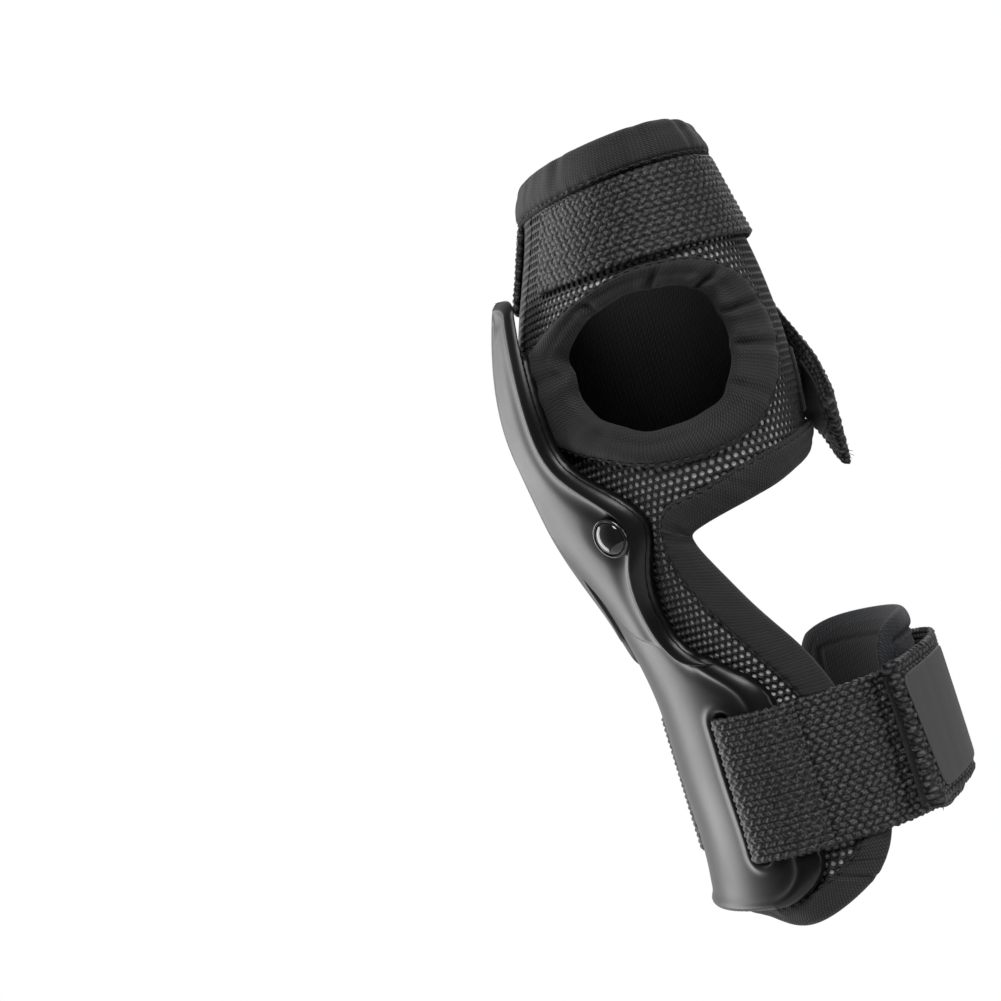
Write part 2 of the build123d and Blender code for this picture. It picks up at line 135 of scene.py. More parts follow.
# Half outline of the splint seen from the palm: half width, height.
SPLINT_HALF = [
    (9.5, 78.0),
    (13.5, 66.0),
    (16.0, 50.0),
    (18.5, 37.0),
    (26.0, 28.0),
    (30.0, 18.0),
    (24.0, 5.0),
    (19.7, -6.0),
    (21.7, -15.0),
    (27.0, -21.0),
    (32.0, -27.0),
    (34.0, -35.0),
]
BAR_HALF_Y = TONGUE_HIGH[1]
BAR_TOP_Z = -35.0  # below this the splint is as broad as its slot bars
RIM_FROM_Z = -18.0  # above this the tongue shows as a rim round the cap
CROWN_H = 5.0
FOOT_CORNER_R = 10.0
CAP_STEP = [(0.0, 10.0), (3.3, -2.0), (12.3, -12.0), (20.2, -18.0), (28.0, -21.0)]
SLOT_Y, SLOT_Z, SLOT_HALF_L, SLOT_HALF_W = 24.0, -52.6, 19.1, 2.25

# Side outline of the laminate (x, z): free edge and seam, back of the wrist to the foot.
FREE_EDGE = [
    (18.0, 24.0), (8.0, 20.5), (-1.5, 18.0), (-17.0, 15.0), (-25.5, 12.6),
    (-25.5, 8.0), (-17.5, -7.0), (-9.2, -20.0), (-3.0, -32.5), (1.5, -50.0), (2.2, -68.0),
    (-3.0, -79.0), (-11.0, -85.0), (-24.0, -90.5),
]
SEAM = [
    (18.0, 31.5), (7.4, 29.0), (-13.0, 25.0), (-24.0, 22.3), (-31.0, 20.0),
    (-32.0, 10.0), (-27.9, -3.0), (-19.9, -20.0), (-13.6, -32.0), (-9.0, -48.0), (-8.0, -68.0),
    (-13.0, -76.5), (-20.0, -80.5), (-28.0, -82.5),
]
PALM_FOOT_Z, PALM_SEAM_Z = -86.5, -79.0
THUMB_HOLE = (-23.6, 56.4, 19.8, 16.8)
THUMB_SEAM = (-20.4, 54.3, 28.0, 24.7)

RIVET_Y, RIVET_Z = 23.4, 17.0
SEW_IN = 1.7  # the stitches' distance from an edge's seam
SEW_PITCH = 3.1
EDGE_T = 6.7  # a neoprene edge over the laminate that it covers
DEGREE_MM = 0.6  # a degree in millimetres of arc, near enough on the back of the cuff


# ---- Curves and surfaces -----------------------------------------------------------------------


def spaced(low, high, step):
    return np.linspace(low, high, max(2, int(round((high - low) / step)) + 1))


def bell(x, centre, breadth):
    """1 at the centre, falling off smoothly to either side."""
    return np.exp(-(((x - centre) / breadth) ** 2))


def unit(v):
    return v / np.linalg.norm(v, axis=-1, keepdims=True)


def length_along(points):
    """Length of a polyline up to each of its points."""
    return np.concatenate([[0], np.cumsum(np.linalg.norm(np.diff(points, axis=0), axis=1))])


def interp_rows(s, run, rows):
    """Linear interpolation of each column of rows."""
    return np.stack([np.interp(s, run, rows[:, k]) for k in range(rows.shape[1])], -1)


def natural_spline(knots, values):
    """A natural cubic spline through rows of values, as a function of the knot variable."""
    x = np.asarray(knots, float)
    y = np.asarray(values, float).reshape(len(x), -1)
    n = len(x)
    h = np.diff(x)
    a = np.zeros((n, n))
    b = np.zeros((n, y.shape[1]))
    a[0, 0] = a[-1, -1] = 1.0
    for i in range(1, n - 1):
        a[i, i - 1 : i + 2] = h[i - 1], 2 * (h[i - 1] + h[i]), h[i]
        b[i] = 6 * ((y[i + 1] - y[i]) / h[i] - (y[i] - y[i - 1]) / h[i - 1])
    m = np.linalg.solve(a, b)

    def at(q):
        q = np.asarray(q, float)
        i = np.clip(np.searchsorted(x, q) - 1, 0, n - 2)
        left, right = q - x[i], x[i + 1] - q
        hi = h[i]
        cubic = (m[i] * right[..., None] ** 3 + m[i + 1] * left[..., None] ** 3) / (6 * hi[..., None])
        low = (y[i] / hi[..., None] - m[i] * hi[..., None] / 6) * right[..., None]
        high = (y[i + 1] / hi[..., None] - m[i + 1] * hi[..., None] / 6) * left[..., None]
        return cubic + low + high

    return at


def section_function(table):
    rows = sorted(table)
    return natural_spline([r[0] for r in rows], [r[1:] for r in rows])


sleeve_section = section_function(SLEEVE)
tongue_section = section_function(TONGUE)


def sleeve_point(angle, z, off):
    """Points on the sleeve's outside, off millimetres out of it. Arrays broadcast."""
    angle, z, off = np.broadcast_arrays(angle, z, off)
    cx, ax, ay = np.moveaxis(sleeve_section(z), -1, 0)
    turn = np.radians(angle)
    return np.stack([cx + (ax + off) * np.cos(turn), -(ay + off) * np.sin(turn), z], -1)


def splint_point(y, z, off):
    """Points on the palm side of the splint's tongue, off millimetres out of it."""
    y, z, off = np.broadcast_arrays(y, z, off)
    cx, ax, ay = np.moveaxis(tongue_section(z), -1, 0)
    depth = np.sqrt(np.clip(1 - (y / (ay + off)) ** 2, 0, 1))
    return np.stack([cx - (ax + off) * depth, y, z], -1)


def angle_of(x, z):
    """The angle on the thumb side of the sleeve at which its outside has this x."""
    cx, ax, _ = np.moveaxis(sleeve_section(np.asarray(z, float)), -1, 0)
    return np.degrees(np.arccos(np.clip((x - cx) / ax, -1, 1)))


def arc_table():
    """Angles at even arc length round a typical section, for patterns of even pitch."""
    t = np.linspace(-180, 180, 3601)
    r = np.radians(t)
    speed = np.hypot(32.0 * np.sin(r), 44.0 * np.cos(r)) * np.radians(0.1)
    s = np.concatenate([[0], np.cumsum((speed[1:] + speed[:-1]) / 2)])
    return t, s - s[1800]


ARC_T, ARC_S = arc_table()


def arc_to_angle(s):
    return np.interp(s, ARC_S, ARC_T)


def angle_to_arc(t):
    return np.interp(t, ARC_T, ARC_S)


def outline_curve(points, palm_z):
    """A smooth curve of (angle, height) along one side, from the back to the palm's middle."""
    pts = [(0.0, points[0][1] + 0.3)]
    pts += [(float(angle_of(x, z)), z) for x, z in points]
    pts += [(158.0, (points[-1][1] + 2 * palm_z) / 3), (180.0, palm_z)]
    return natural_spline(np.arange(len(pts)), pts), len(pts) - 1


free_edge, EDGE_END = outline_curve(FREE_EDGE, PALM_FOOT_Z)
seam_line, _ = outline_curve(SEAM, PALM_SEAM_Z)
NOTCH_S, FOOT_S = 5.5, 12.0  # where the edge pieces meet, as curve parameters


def ring_curve(shape, fullness, wobble=0.0):
    """A closed (angle, height) curve round the thumb hole, for q from 0 to 1."""
    cx, cz, hx, hz = shape

    def at(q):
        turn = 2 * np.pi * np.asarray(q)
        c, s = np.cos(turn), np.sin(turn)
        uneven = 0.5 * np.sin(3 * turn + 0.6) + 0.3 * np.sin(7 * turn + 2.0) + 0.2 * np.sin(12 * turn)
        reach = (1 + wobble * uneven) / (np.abs(c) ** fullness + np.abs(s) ** fullness) ** (1 / fullness)
        x = cx + hx * c * reach
        z = cz + hz * s * reach
        return np.stack([np.minimum(angle_of(x, z), 171.0), z], -1)

    return at


thumb_edge = ring_curve(THUMB_HOLE, 2.3, wobble=0.045)
thumb_seam = ring_curve(THUMB_SEAM, 2.15, wobble=0.012)


def smooth_noise(x, seed):
    """Repeatable one-dimensional noise, about -1 to 1, that varies over a unit of x."""
    rng = np.random.default_rng(seed)
    total = np.zeros_like(np.asarray(x, float))
    for k in range(3):
        for _ in range(4):
            f = (0.6 + rng.random()) * 2**k
            total += np.sin(2 * np.pi * (f * x + rng.random())) * 0.25 / 1.6**k
    return total


# ---- Mesh helpers ------------------------------------------------------------------------------


def new_object(name, verts, faces, material, uv=None, attribute=None):
    """A mesh object from points in millimetres. uv is per point, in millimetres."""
    mesh = bpy.data.meshes.new(name)
    mesh.from_pydata((np.asarray(verts) * MM).tolist(), [], faces)
    mesh.validate()
    mesh.polygons.foreach_set("use_smooth", np.ones(len(mesh.polygons), bool))
    if uv is not None:
        loops = np.zeros(len(mesh.loops), int)
        mesh.loops.foreach_get("vertex_index", loops)
        layer = mesh.uv_layers.new(name="Cloth")
        layer.data.foreach_set("uv", np.asarray(uv, float)[loops].ravel().astype(np.float32))
    if attribute is not None:
        # the weave attribute carries the webbing's painted shade in its gaps and on its rolled edges
        data = mesh.attributes.new("weave", "FLOAT", "POINT")
        data.data.foreach_set("value", np.asarray(attribute, np.float32).ravel())
    mesh.materials.append(material)
    obj = bpy.data.objects.new(name, mesh)
    bpy.context.scene.collection.objects.link(obj)
    return obj


def quads(n, m, start=0, close_u=False, close_v=False):
    """Faces of an n by m grid of points numbered row by row."""
    i = np.arange(n if close_u else n - 1)
    j = np.arange(m if close_v else m - 1)
    a, b = np.meshgrid(i, j, indexing="ij")
    a2, b2 = (a + 1) % n, (b + 1) % m
    return np.stack([a * m + b, a2 * m + b, a2 * m + b2, a * m + b2], -1).reshape(-1, 4) + start


def slab_mesh(outer, inner, keep=None):
    """Points and faces of a plate: outer and inner grids, joined round every edge of what is kept."""
    n, m = outer.shape[:2]
    keep = np.ones((n - 1, m - 1), bool) if keep is None else keep
    size = n * m
    grid = quads(n, m).reshape(n - 1, m - 1, 4)
    faces = [grid[keep], grid[keep][:, ::-1] + size]
    padded = np.zeros((n + 1, m + 1), bool)
    padded[1:-1, 1:-1] = keep
    idx = np.arange(size).reshape(n, m)
    below, above = padded[1:-1, :-1], padded[1:-1, 1:]
    before, after = padded[:-1, 1:-1], padded[1:, 1:-1]
    walls = (
        (above & ~below, (1, 0), False),
        (below & ~above, (1, 0), True),
        (after & ~before, (0, 1), True),
        (before & ~after, (0, 1), False),
    )
    for mask, (di, dj), flip in walls:
        i, j = np.nonzero(mask)
        a, b = idx[i, j], idx[i + di, j + dj]
        side = np.stack([b, a, a + size, b + size], -1)
        faces.append(side[:, ::-1] if flip else side)
    verts = np.concatenate([outer.reshape(-1, 3), inner.reshape(-1, 3)])
    return verts, np.concatenate(faces)


def drop_loose(verts, faces, *per_point):
    """Leaves out the points that no face uses."""
    used = np.unique(faces)
    number = np.full(len(verts), -1)
    number[used] = np.arange(len(used))
    return (verts[used], number[faces], *(p[used] for p in per_point))


def slab_object(name, outer, inner, material, uv, keep=None, attribute=None):
    verts, faces = slab_mesh(outer, inner, keep)
    uv = np.tile(uv.reshape(-1, 2), (2, 1))
    extra = np.zeros(len(verts)) if attribute is None else np.tile(attribute.ravel(), 2)
    verts, faces, uv, extra = drop_loose(verts, faces, uv, extra)
    return new_object(name, verts, faces.tolist(), material, uv, extra if attribute is not None else None)


def subdivide(obj):
    modifier = obj.modifiers.new("subdivide", "SUBSURF")
    modifier.levels = modifier.render_levels = 1


def weld(obj, distance):
    bm = bmesh.new()
    bm.from_mesh(obj.data)
    bmesh.ops.remove_doubles(bm, verts=bm.verts, dist=distance)
    bm.to_mesh(obj.data)
    bm.free()
    obj.data.polygons.foreach_set("use_smooth", np.ones(len(obj.data.polygons), bool))


def place(obj, body, slot, *nodes):
    """Rides the piece on its body and lets it stand for CAD nodes; slot is not used."""
    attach(obj, body)
    if nodes:
        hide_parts(*nodes)
    return obj


# ---- Materials ---------------------------------------------------------------------------------


def shader(name):
    """A material, its node tree and its Principled shader."""
    mat = bpy.data.materials.new(name)
    mat.use_nodes = True
    return mat, mat.node_tree, mat.node_tree.nodes["Principled BSDF"]


def node(tree, kind, **values):
    made = tree.nodes.new(kind)
    for key, value in values.items():
        if key in made.inputs:
            made.inputs[key].default_value = value
        else:
            setattr(made, key, value)
    return made


def ramp(tree, source, stops):
    """A colour ramp fed by a socket: stops are (position, grey or colour)."""
    made = node(tree, "ShaderNodeValToRGB")
    for i, (position, colour) in enumerate(stops):
        stop = made.color_ramp.elements[i] if i < 2 else made.color_ramp.elements.new(position)
        stop.position = position
        grey = colour if hasattr(colour, "__len__") else (colour, colour, colour)
        stop.color = (*grey, 1.0)
    tree.links.new(source, made.inputs["Fac"])
    return made.outputs["Color"]


def mix(tree, kind, factor, a, b):
    made = node(tree, "ShaderNodeMix", data_type="RGBA", blend_type=kind)
    for socket, value in ((0, factor), (6, a), (7, b)):
        if hasattr(value, "is_output"):
            tree.links.new(value, made.inputs[socket])
        else:
            made.inputs[socket].default_value = value
    return made.outputs[2]


def bump(tree, height, bsdf, strength, distance):
    made = node(tree, "ShaderNodeBump", Strength=strength, Distance=distance)
    tree.links.new(height, made.inputs["Height"])
    tree.links.new(made.outputs["Normal"], bsdf.inputs["Normal"])
    return made


def object_noise(tree, scale, detail=3.0):
    coordinates = node(tree, "ShaderNodeTexCoord")
    noise = node(tree, "ShaderNodeTexNoise", Scale=scale, Detail=detail, Roughness=0.55)
    tree.links.new(coordinates.outputs["Object"], noise.inputs["Vector"])
    return noise.outputs["Fac"]


def knit_material(name, dark, light, pitch, sheen, depth):
    """Fine ribbed knit on the piece's own cloth coordinates, in millimetres."""
    mat, tree, bsdf = shader(name)
    uv = node(tree, "ShaderNodeUVMap", uv_map="Cloth")
    turned = node(tree, "ShaderNodeMapping", Rotation=(0, 0, math.radians(38)))
    tree.links.new(uv.outputs["UV"], turned.inputs["Vector"])
    waves = []
    for source, scale in ((turned.outputs["Vector"], 1.0), (uv.outputs["UV"], 0.62)):
        wave = node(tree, "ShaderNodeTexWave", Scale=0.314 / pitch * scale, Distortion=1.2, Detail=2.0)
        wave.inputs["Detail Scale"].default_value = 1.6
        tree.links.new(source, wave.inputs["Vector"])
        waves.append(wave.outputs["Fac"])
    weave = mix(tree, "MULTIPLY", 0.55, waves[0], waves[1])
    wear = object_noise(tree, 55.0)
    tone = mix(tree, "MIX", ramp(tree, wear, [(0.35, 0.0), (0.7, 1.0)]), (*dark, 1), (*light, 1))
    bright = tuple(c * 3.2 for c in light)
    colour = mix(tree, "MIX", ramp(tree, weave, [(0.25, 0.0), (0.9, 0.55)]), tone, (*bright, 1))
    tree.links.new(colour, bsdf.inputs["Base Color"])
    bsdf.inputs["Roughness"].default_value = 0.78
    bsdf.inputs["Specular IOR Level"].default_value = 0.22
    bsdf.inputs["Sheen Weight"].default_value = sheen
    bsdf.inputs["Sheen Roughness"].default_value = 0.45
    bump(tree, weave, bsdf, 0.55, depth * MM)
    return mat


def webbing_material():
    """Coarse black webbing: the weave is in the mesh, and painted shade darkens the gaps between its yarns
    and its rolled edges; the yarns' lighter flecks are partly their own tone and partly painted highlight.
    """
    mat, tree, bsdf = shader("webbing")
    relief = node(tree, "ShaderNodeAttribute", attribute_name="weave")
    fibre_uv = node(tree, "ShaderNodeUVMap", uv_map="Cloth")
    fibre = node(tree, "ShaderNodeTexNoise", Scale=1.9, Detail=5.0)
    tree.links.new(fibre_uv.outputs["UV"], fibre.inputs["Vector"])
    # the lighter flecks on the yarns: partly the yarn's own tone, partly painted highlight
    yarn = mix(tree, "MIX", ramp(tree, fibre.outputs["Fac"], [(0.4, 0.0), (0.62, 1.0)]),
               (0.012, 0.012, 0.0125, 1), (0.115, 0.115, 0.118, 1))
    # painted shade: near black where the weave attribute is low, in the gaps between the yarns and on the
    # rolled edges
    colour = mix(tree, "MIX", ramp(tree, relief.outputs["Fac"], [(0.35, 0.0), (0.85, 1.0)]),
                 (0.0004, 0.0004, 0.0005, 1), yarn)
    tree.links.new(colour, bsdf.inputs["Base Color"])
    bsdf.inputs["Roughness"].default_value = 0.5
    bsdf.inputs["Specular IOR Level"].default_value = 0.3
    bsdf.inputs["Sheen Weight"].default_value = 0.04
    bump(tree, fibre.outputs["Fac"], bsdf, 0.8, 0.2 * MM)
    return mat


def splint_material():
    """Satin-gloss black moulding with a faint moulded grain and fine handling marks."""
    mat, tree, bsdf = shader("splint_plastic")
    cloud = object_noise(tree, 38.0, 4.0)
    rough = ramp(tree, cloud, [(0.3, 0.3), (0.75, 0.4)])
    tree.links.new(rough, bsdf.inputs["Roughness"])
    colour = ramp(tree, cloud, [(0.2, 0.004), (0.8, 0.008)])
    tree.links.new(colour, bsdf.inputs["Base Color"])
    bsdf.inputs["Specular IOR Level"].default_value = 0.3
    grain = object_noise(tree, 900.0, 2.0)
    bump(tree, grain, bsdf, 0.12, 0.05 * MM)
    return mat


def plain_material(name, dark, light, roughness, noise_scale, depth, metallic=0.0, sheen=0.0):
    """A surface with mottled colour and a fine grain."""
    mat, tree, bsdf = shader(name)
    noise = object_noise(tree, noise_scale)
    tree.links.new(ramp(tree, noise, [(0.3, dark), (0.72, light)]), bsdf.inputs["Base Color"])
    low, high = roughness
    tree.links.new(ramp(tree, noise, [(0.3, low), (0.7, high)]), bsdf.inputs["Roughness"])
    bsdf.inputs["Metallic"].default_value = metallic
    bsdf.inputs["Sheen Weight"].default_value = sheen
    bump(tree, noise, bsdf, 0.4, depth * MM)
    return mat


NEOPRENE = knit_material("neoprene", (0.014, 0.014, 0.0148), (0.023, 0.023, 0.024), 0.62, 0.06, 0.2)
PAD_KNIT = knit_material("pad_knit", (0.015, 0.0155, 0.018), (0.022, 0.0225, 0.026), 0.7, 0.08, 0.14)
LINING = knit_material("lining", (0.008, 0.008, 0.009), (0.013, 0.013, 0.014), 0.9, 0.08, 0.1)
WEBBING = webbing_material()
SPLINT = splint_material()
MESH_YARN = plain_material("mesh_yarn", 0.006, 0.016, (0.5, 0.66), 700.0, 0.08, sheen=0.03)
FOAM = plain_material("foam", 0.26, 0.85, (0.8, 0.95), 420.0, 0.15)
THREAD = plain_material("thread", 0.01, 0.022, (0.5, 0.7), 2500.0, 0.05)
RIVET_BLACK = plain_material("rivet_black", 0.008, 0.012, (0.04, 0.09), 300.0, 0.01)
RIVET_RIM = plain_material("rivet_rim", 0.06, 0.12, (0.22, 0.34), 500.0, 0.02, metallic=1.0)
STEEL = plain_material("washer_steel", 0.45, 0.6, (0.3, 0.45), 800.0, 0.02, metallic=1.0)
HOOK = plain_material("hook_tape", 0.008, 0.018, (0.4, 0.6), 1500.0, 0.2)
LOOP = plain_material("loop_tape", 0.01, 0.03, (0.85, 1.0), 1800.0, 0.4, sheen=0.12)
LABEL = plain_material("label_grey", 0.052, 0.062, (0.55, 0.66), 1200.0, 0.03)


# ---- Camera, light and floor -------------------------------------------------------------------

VIEW_AZIMUTH = math.radians(-12.0)
VIEW_ROLL = math.radians(17.0)
VIEW_DISTANCE = 0.70
VIEW_WIDTH = 0.2615  # what the frame spans at the object
SENSOR = 36.0
GUARD_RIGHT, GUARD_DOWN = 0.0684, 0.0147  # the wrist's centre from the middle of the frame


def make_camera():
    back = Vector((math.sin(VIEW_AZIMUTH), -math.cos(VIEW_AZIMUTH), 0))
    level_right = Vector((math.cos(VIEW_AZIMUTH), math.sin(VIEW_AZIMUTH), 0))
    up = Vector((0, 0, 1))
    right = level_right * math.cos(VIEW_ROLL) - up * math.sin(VIEW_ROLL)
    top = level_right * math.sin(VIEW_ROLL) + up * math.cos(VIEW_ROLL)
    aim = -right * GUARD_RIGHT + top * GUARD_DOWN
    data = bpy.data.cameras.new("camera")
    data.sensor_width = SENSOR
    data.lens = SENSOR * VIEW_DISTANCE / VIEW_WIDTH
    data.clip_start = 0.01
    camera = bpy.data.objects.new("camera", data)
    turn = Matrix((right, top, back)).transposed()
    camera.matrix_world = Matrix.Translation(aim + back * VIEW_DISTANCE) @ turn.to_4x4()
    bpy.context.scene.collection.objects.link(camera)
    bpy.context.scene.camera = camera


def area_light(name, place_at, aim, size, watts):
    data = bpy.data.lights.new(name, "AREA")
    data.shape = "RECTANGLE"
    data.size, data.size_y = size
    data.energy = watts
    lamp = bpy.data.objects.new(name, data)
    lamp.location = place_at
    lamp.rotation_mode = "QUATERNION"
    lamp.rotation_quaternion = (Vector(aim) - Vector(place_at)).to_track_quat("-Z", "Y")
    bpy.context.scene.collection.objects.link(lamp)


def make_world():
    """White to the camera, and brighter behind the guard than in front of it."""
    world = bpy.data.worlds.new("studio")
    world.use_nodes = True
    tree = world.node_tree
    ambient = tree.nodes["Background"]
    ambient.inputs["Color"].default_value = (1.0, 1.0, 1.0, 1)
    direction = node(tree, "ShaderNodeTexCoord")
    split = node(tree, "ShaderNodeSeparateXYZ")
    level = node(tree, "ShaderNodeMapRange")
    level.interpolation_type = "SMOOTHSTEP"
    level.inputs["From Min"].default_value = -0.5
    level.inputs["To Min"].default_value = 0.07
    level.inputs["To Max"].default_value = 0.75
    tree.links.new(direction.outputs["Generated"], split.inputs[0])
    tree.links.new(split.outputs["Y"], level.inputs["Value"])
    tree.links.new(level.outputs["Result"], ambient.inputs["Strength"])
    backdrop = node(tree, "ShaderNodeBackground", Color=(1.0, 1.0, 1.0, 1), Strength=1.0)
    seen = node(tree, "ShaderNodeLightPath")
    choose = node(tree, "ShaderNodeMixShader")
    tree.links.new(seen.outputs["Is Camera Ray"], choose.inputs[0])
    tree.links.new(ambient.outputs[0], choose.inputs[1])
    tree.links.new(backdrop.outputs[0], choose.inputs[2])
    tree.links.new(choose.outputs[0], tree.nodes["World Output"].inputs["Surface"])
    bpy.context.scene.world = world


def make_lights():
    area_light("key", (-0.30, -0.85, 0.80), (0, 0, 0.02), (0.45, 0.45), 11.0)
    area_light("fill", (0.75, -0.7, 0.1), (0, 0, 0), (0.4, 0.8), 3.5)
    area_light("palm", (-0.62, 0.60, -0.05), (0, 0, 0), (0.4, 1.1), 7.5)
    area_light("back", (0.45, 0.75, 0.5), (0, 0, 0), (0.7, 0.7), 3.0)


def make_floor():
    """A pale disc well under the guard."""
    mesh = bpy.data.meshes.new("floor")
    sides = 64
    floor_z, floor_r = cad_low[2] - 0.18, 0.32
    turns = [2 * math.pi * i / sides for i in range(sides)]
    ring = [(floor_r * math.cos(turn), floor_r * math.sin(turn), floor_z) for turn in turns]
    mesh.from_pydata(ring, [], [list(range(sides))])
    floor_mat, _, floor_bsdf = shader("floor")
    floor_bsdf.inputs["Base Color"].default_value = (0.9, 0.9, 0.9, 1)
    floor_bsdf.inputs["Roughness"].default_value = 0.7
    mesh.materials.append(floor_mat)
    floor = bpy.data.objects.new("floor", mesh)
    bpy.context.scene.collection.objects.link(floor)
    floor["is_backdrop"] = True


# ---- Splint ------------------------------------------------------------------------------------

half_width = natural_spline([z for _, z in reversed(SPLINT_HALF)], [y for y, _ in reversed(SPLINT_HALF)])


def splint_half(z, top_z, inset):
    """Half width of the splint at a height, with its rounded top and foot."""
    foot_z = TONGUE_LOW[2]
    z = np.asarray(z, float)
    crown_z = top_z - CROWN_H
    shaped = half_width(np.clip(z, BAR_TOP_Z, crown_z))[..., 0]
    width = np.where(z < BAR_TOP_Z, BAR_HALF_Y, shaped) - np.where(z > RIM_FROM_Z, inset, 0.0)
    corner = np.clip((foot_z + FOOT_CORNER_R - z) / FOOT_CORNER_R, 0, 1)
    rounded = BAR_HALF_Y - FOOT_CORNER_R * (1 - np.sqrt(1 - corner**2))
    width = np.where(z < foot_z + FOOT_CORNER_R, rounded, width)
    crown = np.clip((z - crown_z) / CROWN_H, 0, 1)
    return np.where(z > crown_z, width * np.sqrt(np.clip(1 - crown**2, 0.0004, 1)), width)


def distance_to(points, outline):
    """Distance from each (y, z) point to a polyline's points."""
    best = np.full(points.shape[:-1], 1e9)
    for q in outline:
        best = np.minimum(best, (points[..., 0] - q[0]) ** 2 + (points[..., 1] - q[1]) ** 2)
    return np.sqrt(best)


def slot_distance(y, z):
    """Signed distance to the nearer strap slot's wall, negative inside it."""
    along = np.maximum(np.abs(z - SLOT_Z) - (SLOT_HALF_L - SLOT_HALF_W), 0)
    return np.hypot(np.abs(y) - SLOT_Y, along) - SLOT_HALF_W


def roll_off(distance, radius):
    """How far a rounded edge falls away at this distance from its rim."""
    inside = np.clip(radius - distance, 0, radius)
    return radius - np.sqrt(radius**2 - inside**2)


def step_height(y):
    """Height of the cap's lower edge at each y."""
    curve = natural_spline([p[0] for p in CAP_STEP], [p[1] for p in CAP_STEP])
    return curve(np.clip(np.sqrt(y * y + 0.8) - 0.35, 0, CAP_STEP[-1][0]))[..., 0]


def make_tongue():
    """The tongue, with a bead round its rim and round both slots."""
    top_z, foot_z = TONGUE_HIGH[2], TONGUE_LOW[2]
    z = np.concatenate([spaced(foot_z, foot_z + 1.2, 0.25)[:-1], spaced(foot_z + 1.2, top_z - 2, 0.7),
                        spaced(top_z - 2, top_z - 0.02, 0.3)[1:]])
    s = np.linspace(-1, 1, 121)
    s = np.sign(s) * (1 - (1 - np.abs(s)) ** 1.12)
    zz, ss = np.meshgrid(z, s, indexing="ij")
    yy = ss * splint_half(zz, top_z, 1.0)
    phi = slot_distance(yy, zz)
    grad_y = np.abs(yy) - SLOT_Y
    grad_z = np.clip(np.abs(zz - SLOT_Z) - (SLOT_HALF_L - SLOT_HALF_W), 0, None)
    length = np.hypot(grad_y, grad_z) + 1e-6
    near = np.abs(phi) < 0.42
    yy = np.where(near, yy - phi * grad_y / length * np.sign(yy), yy)
    zz = np.where(near, zz - phi * grad_z / length * np.sign(zz - SLOT_Z), zz)
    phi = slot_distance(yy, zz)
    edge_z = spaced(foot_z, top_z, 0.08)
    edge_y = splint_half(edge_z, top_z, 1.0)
    outline = np.stack([edge_y, edge_z], -1)
    foot = [(q, foot_z) for q in spaced(0, edge_y[0], 0.1)]
    d = distance_to(np.stack([np.abs(yy), zz], -1), np.concatenate([outline, foot]))
    bead = 0.42 * bell(d, 1.9, 1.05) - 0.1 * bell(d, 4.4, 1.5)
    lip = 0.55 * bell(phi, 1.8, 1.15) * (phi > 0)
    off = bead + lip - roll_off(d, 1.5) - roll_off(np.clip(phi, 0, None), 1.3)
    off = off + 0.5 * bell(yy, 0, 9.0) * np.clip((zz + 30) / 20, 0, 1)
    inner_off = np.minimum(-2.4, off - 0.35)
    keep = (phi[:-1, :-1] + phi[1:, :-1] + phi[:-1, 1:] + phi[1:, 1:]) / 4 > 0.0
    obj = slab_object("palm_splint_shell", splint_point(yy, zz, off), splint_point(yy, zz, inner_off), SPLINT,
                      np.stack([yy, zz], -1), keep)
    return place(obj, "guard", "splint_plastic", "palm_splint")


def make_cap():
    """The raised cap, with a bead round its rim, a ridge at its middle and a seat for each rivet."""
    top_z = CAP_TOP_Z
    s = np.linspace(-1, 1, 131)
    s = np.sign(s) * (1 - (1 - np.abs(s)) ** 1.12)
    rows = np.linspace(0, 1, 200)
    rr, ss = np.meshgrid(rows, s, indexing="ij")
    low = step_height(np.abs(ss) * 27.4)
    zz = low + (top_z - 0.02 - low) * rr
    yy = ss * splint_half(zz, top_z, 0.0)
    for _ in range(6):
        low = step_height(np.abs(yy))
        zz = low + (top_z - 0.02 - low) * rr
        yy = ss * splint_half(zz, top_z, 0.0)
    edge_z = spaced(-21.0, top_z, 0.06)
    outline = np.stack([splint_half(edge_z, top_z, 0.0), edge_z], -1)
    outline = outline[outline[:, 1] > step_height(outline[:, 0])]
    step_y = spaced(0, 27.4, 0.06)
    step = np.stack([step_y, step_height(step_y)], -1)
    points = np.stack([np.abs(yy), zz], -1)
    d_rim, d_step = distance_to(points, outline), distance_to(points, step)
    bead = 0.6 * bell(d_rim, 1.9, 0.95) - 0.35 * bell(d_rim, 5.0, 2.2)
    ridge = 1.1 * np.exp(-np.abs(yy) / 4.5) * np.clip((zz - 8) / 14, 0, 1)
    rivet_d = np.hypot(np.abs(yy) - RIVET_Y, zz - RIVET_Z)
    seat = -0.5 * np.exp(-((rivet_d / 6.5) ** 4))
    off = 1.5 + bead + ridge + seat - roll_off(d_rim, 1.3) * 1.1 - roll_off(d_step, 1.1)
    inner = np.minimum(0.12, off - 0.3)
    obj = slab_object("palm_cap_shell", splint_point(yy, zz, off), splint_point(yy, zz, inner), SPLINT,
                      np.stack([yy, zz], -1))
    return place(obj, "guard", "splint_plastic", "palm_cap")


def lathe(name, profile, matrix, material):
    """A turned piece: profile is (radius, height) pairs in millimetres."""
    segments = 64
    turn = np.linspace(0, 2 * np.pi, segments, endpoint=False)
    r = np.array([p[0] for p in profile])
    h = np.array([p[1] for p in profile])
    rings = (np.outer(r, np.cos(turn)), np.outer(r, np.sin(turn)), np.outer(h, np.ones(segments)))
    verts = np.stack(rings, -1)
    faces = quads(len(profile), segments, close_v=True).tolist()
    obj = new_object(name, verts.reshape(-1, 3), faces, material)
    obj.data.transform(matrix)
    return obj


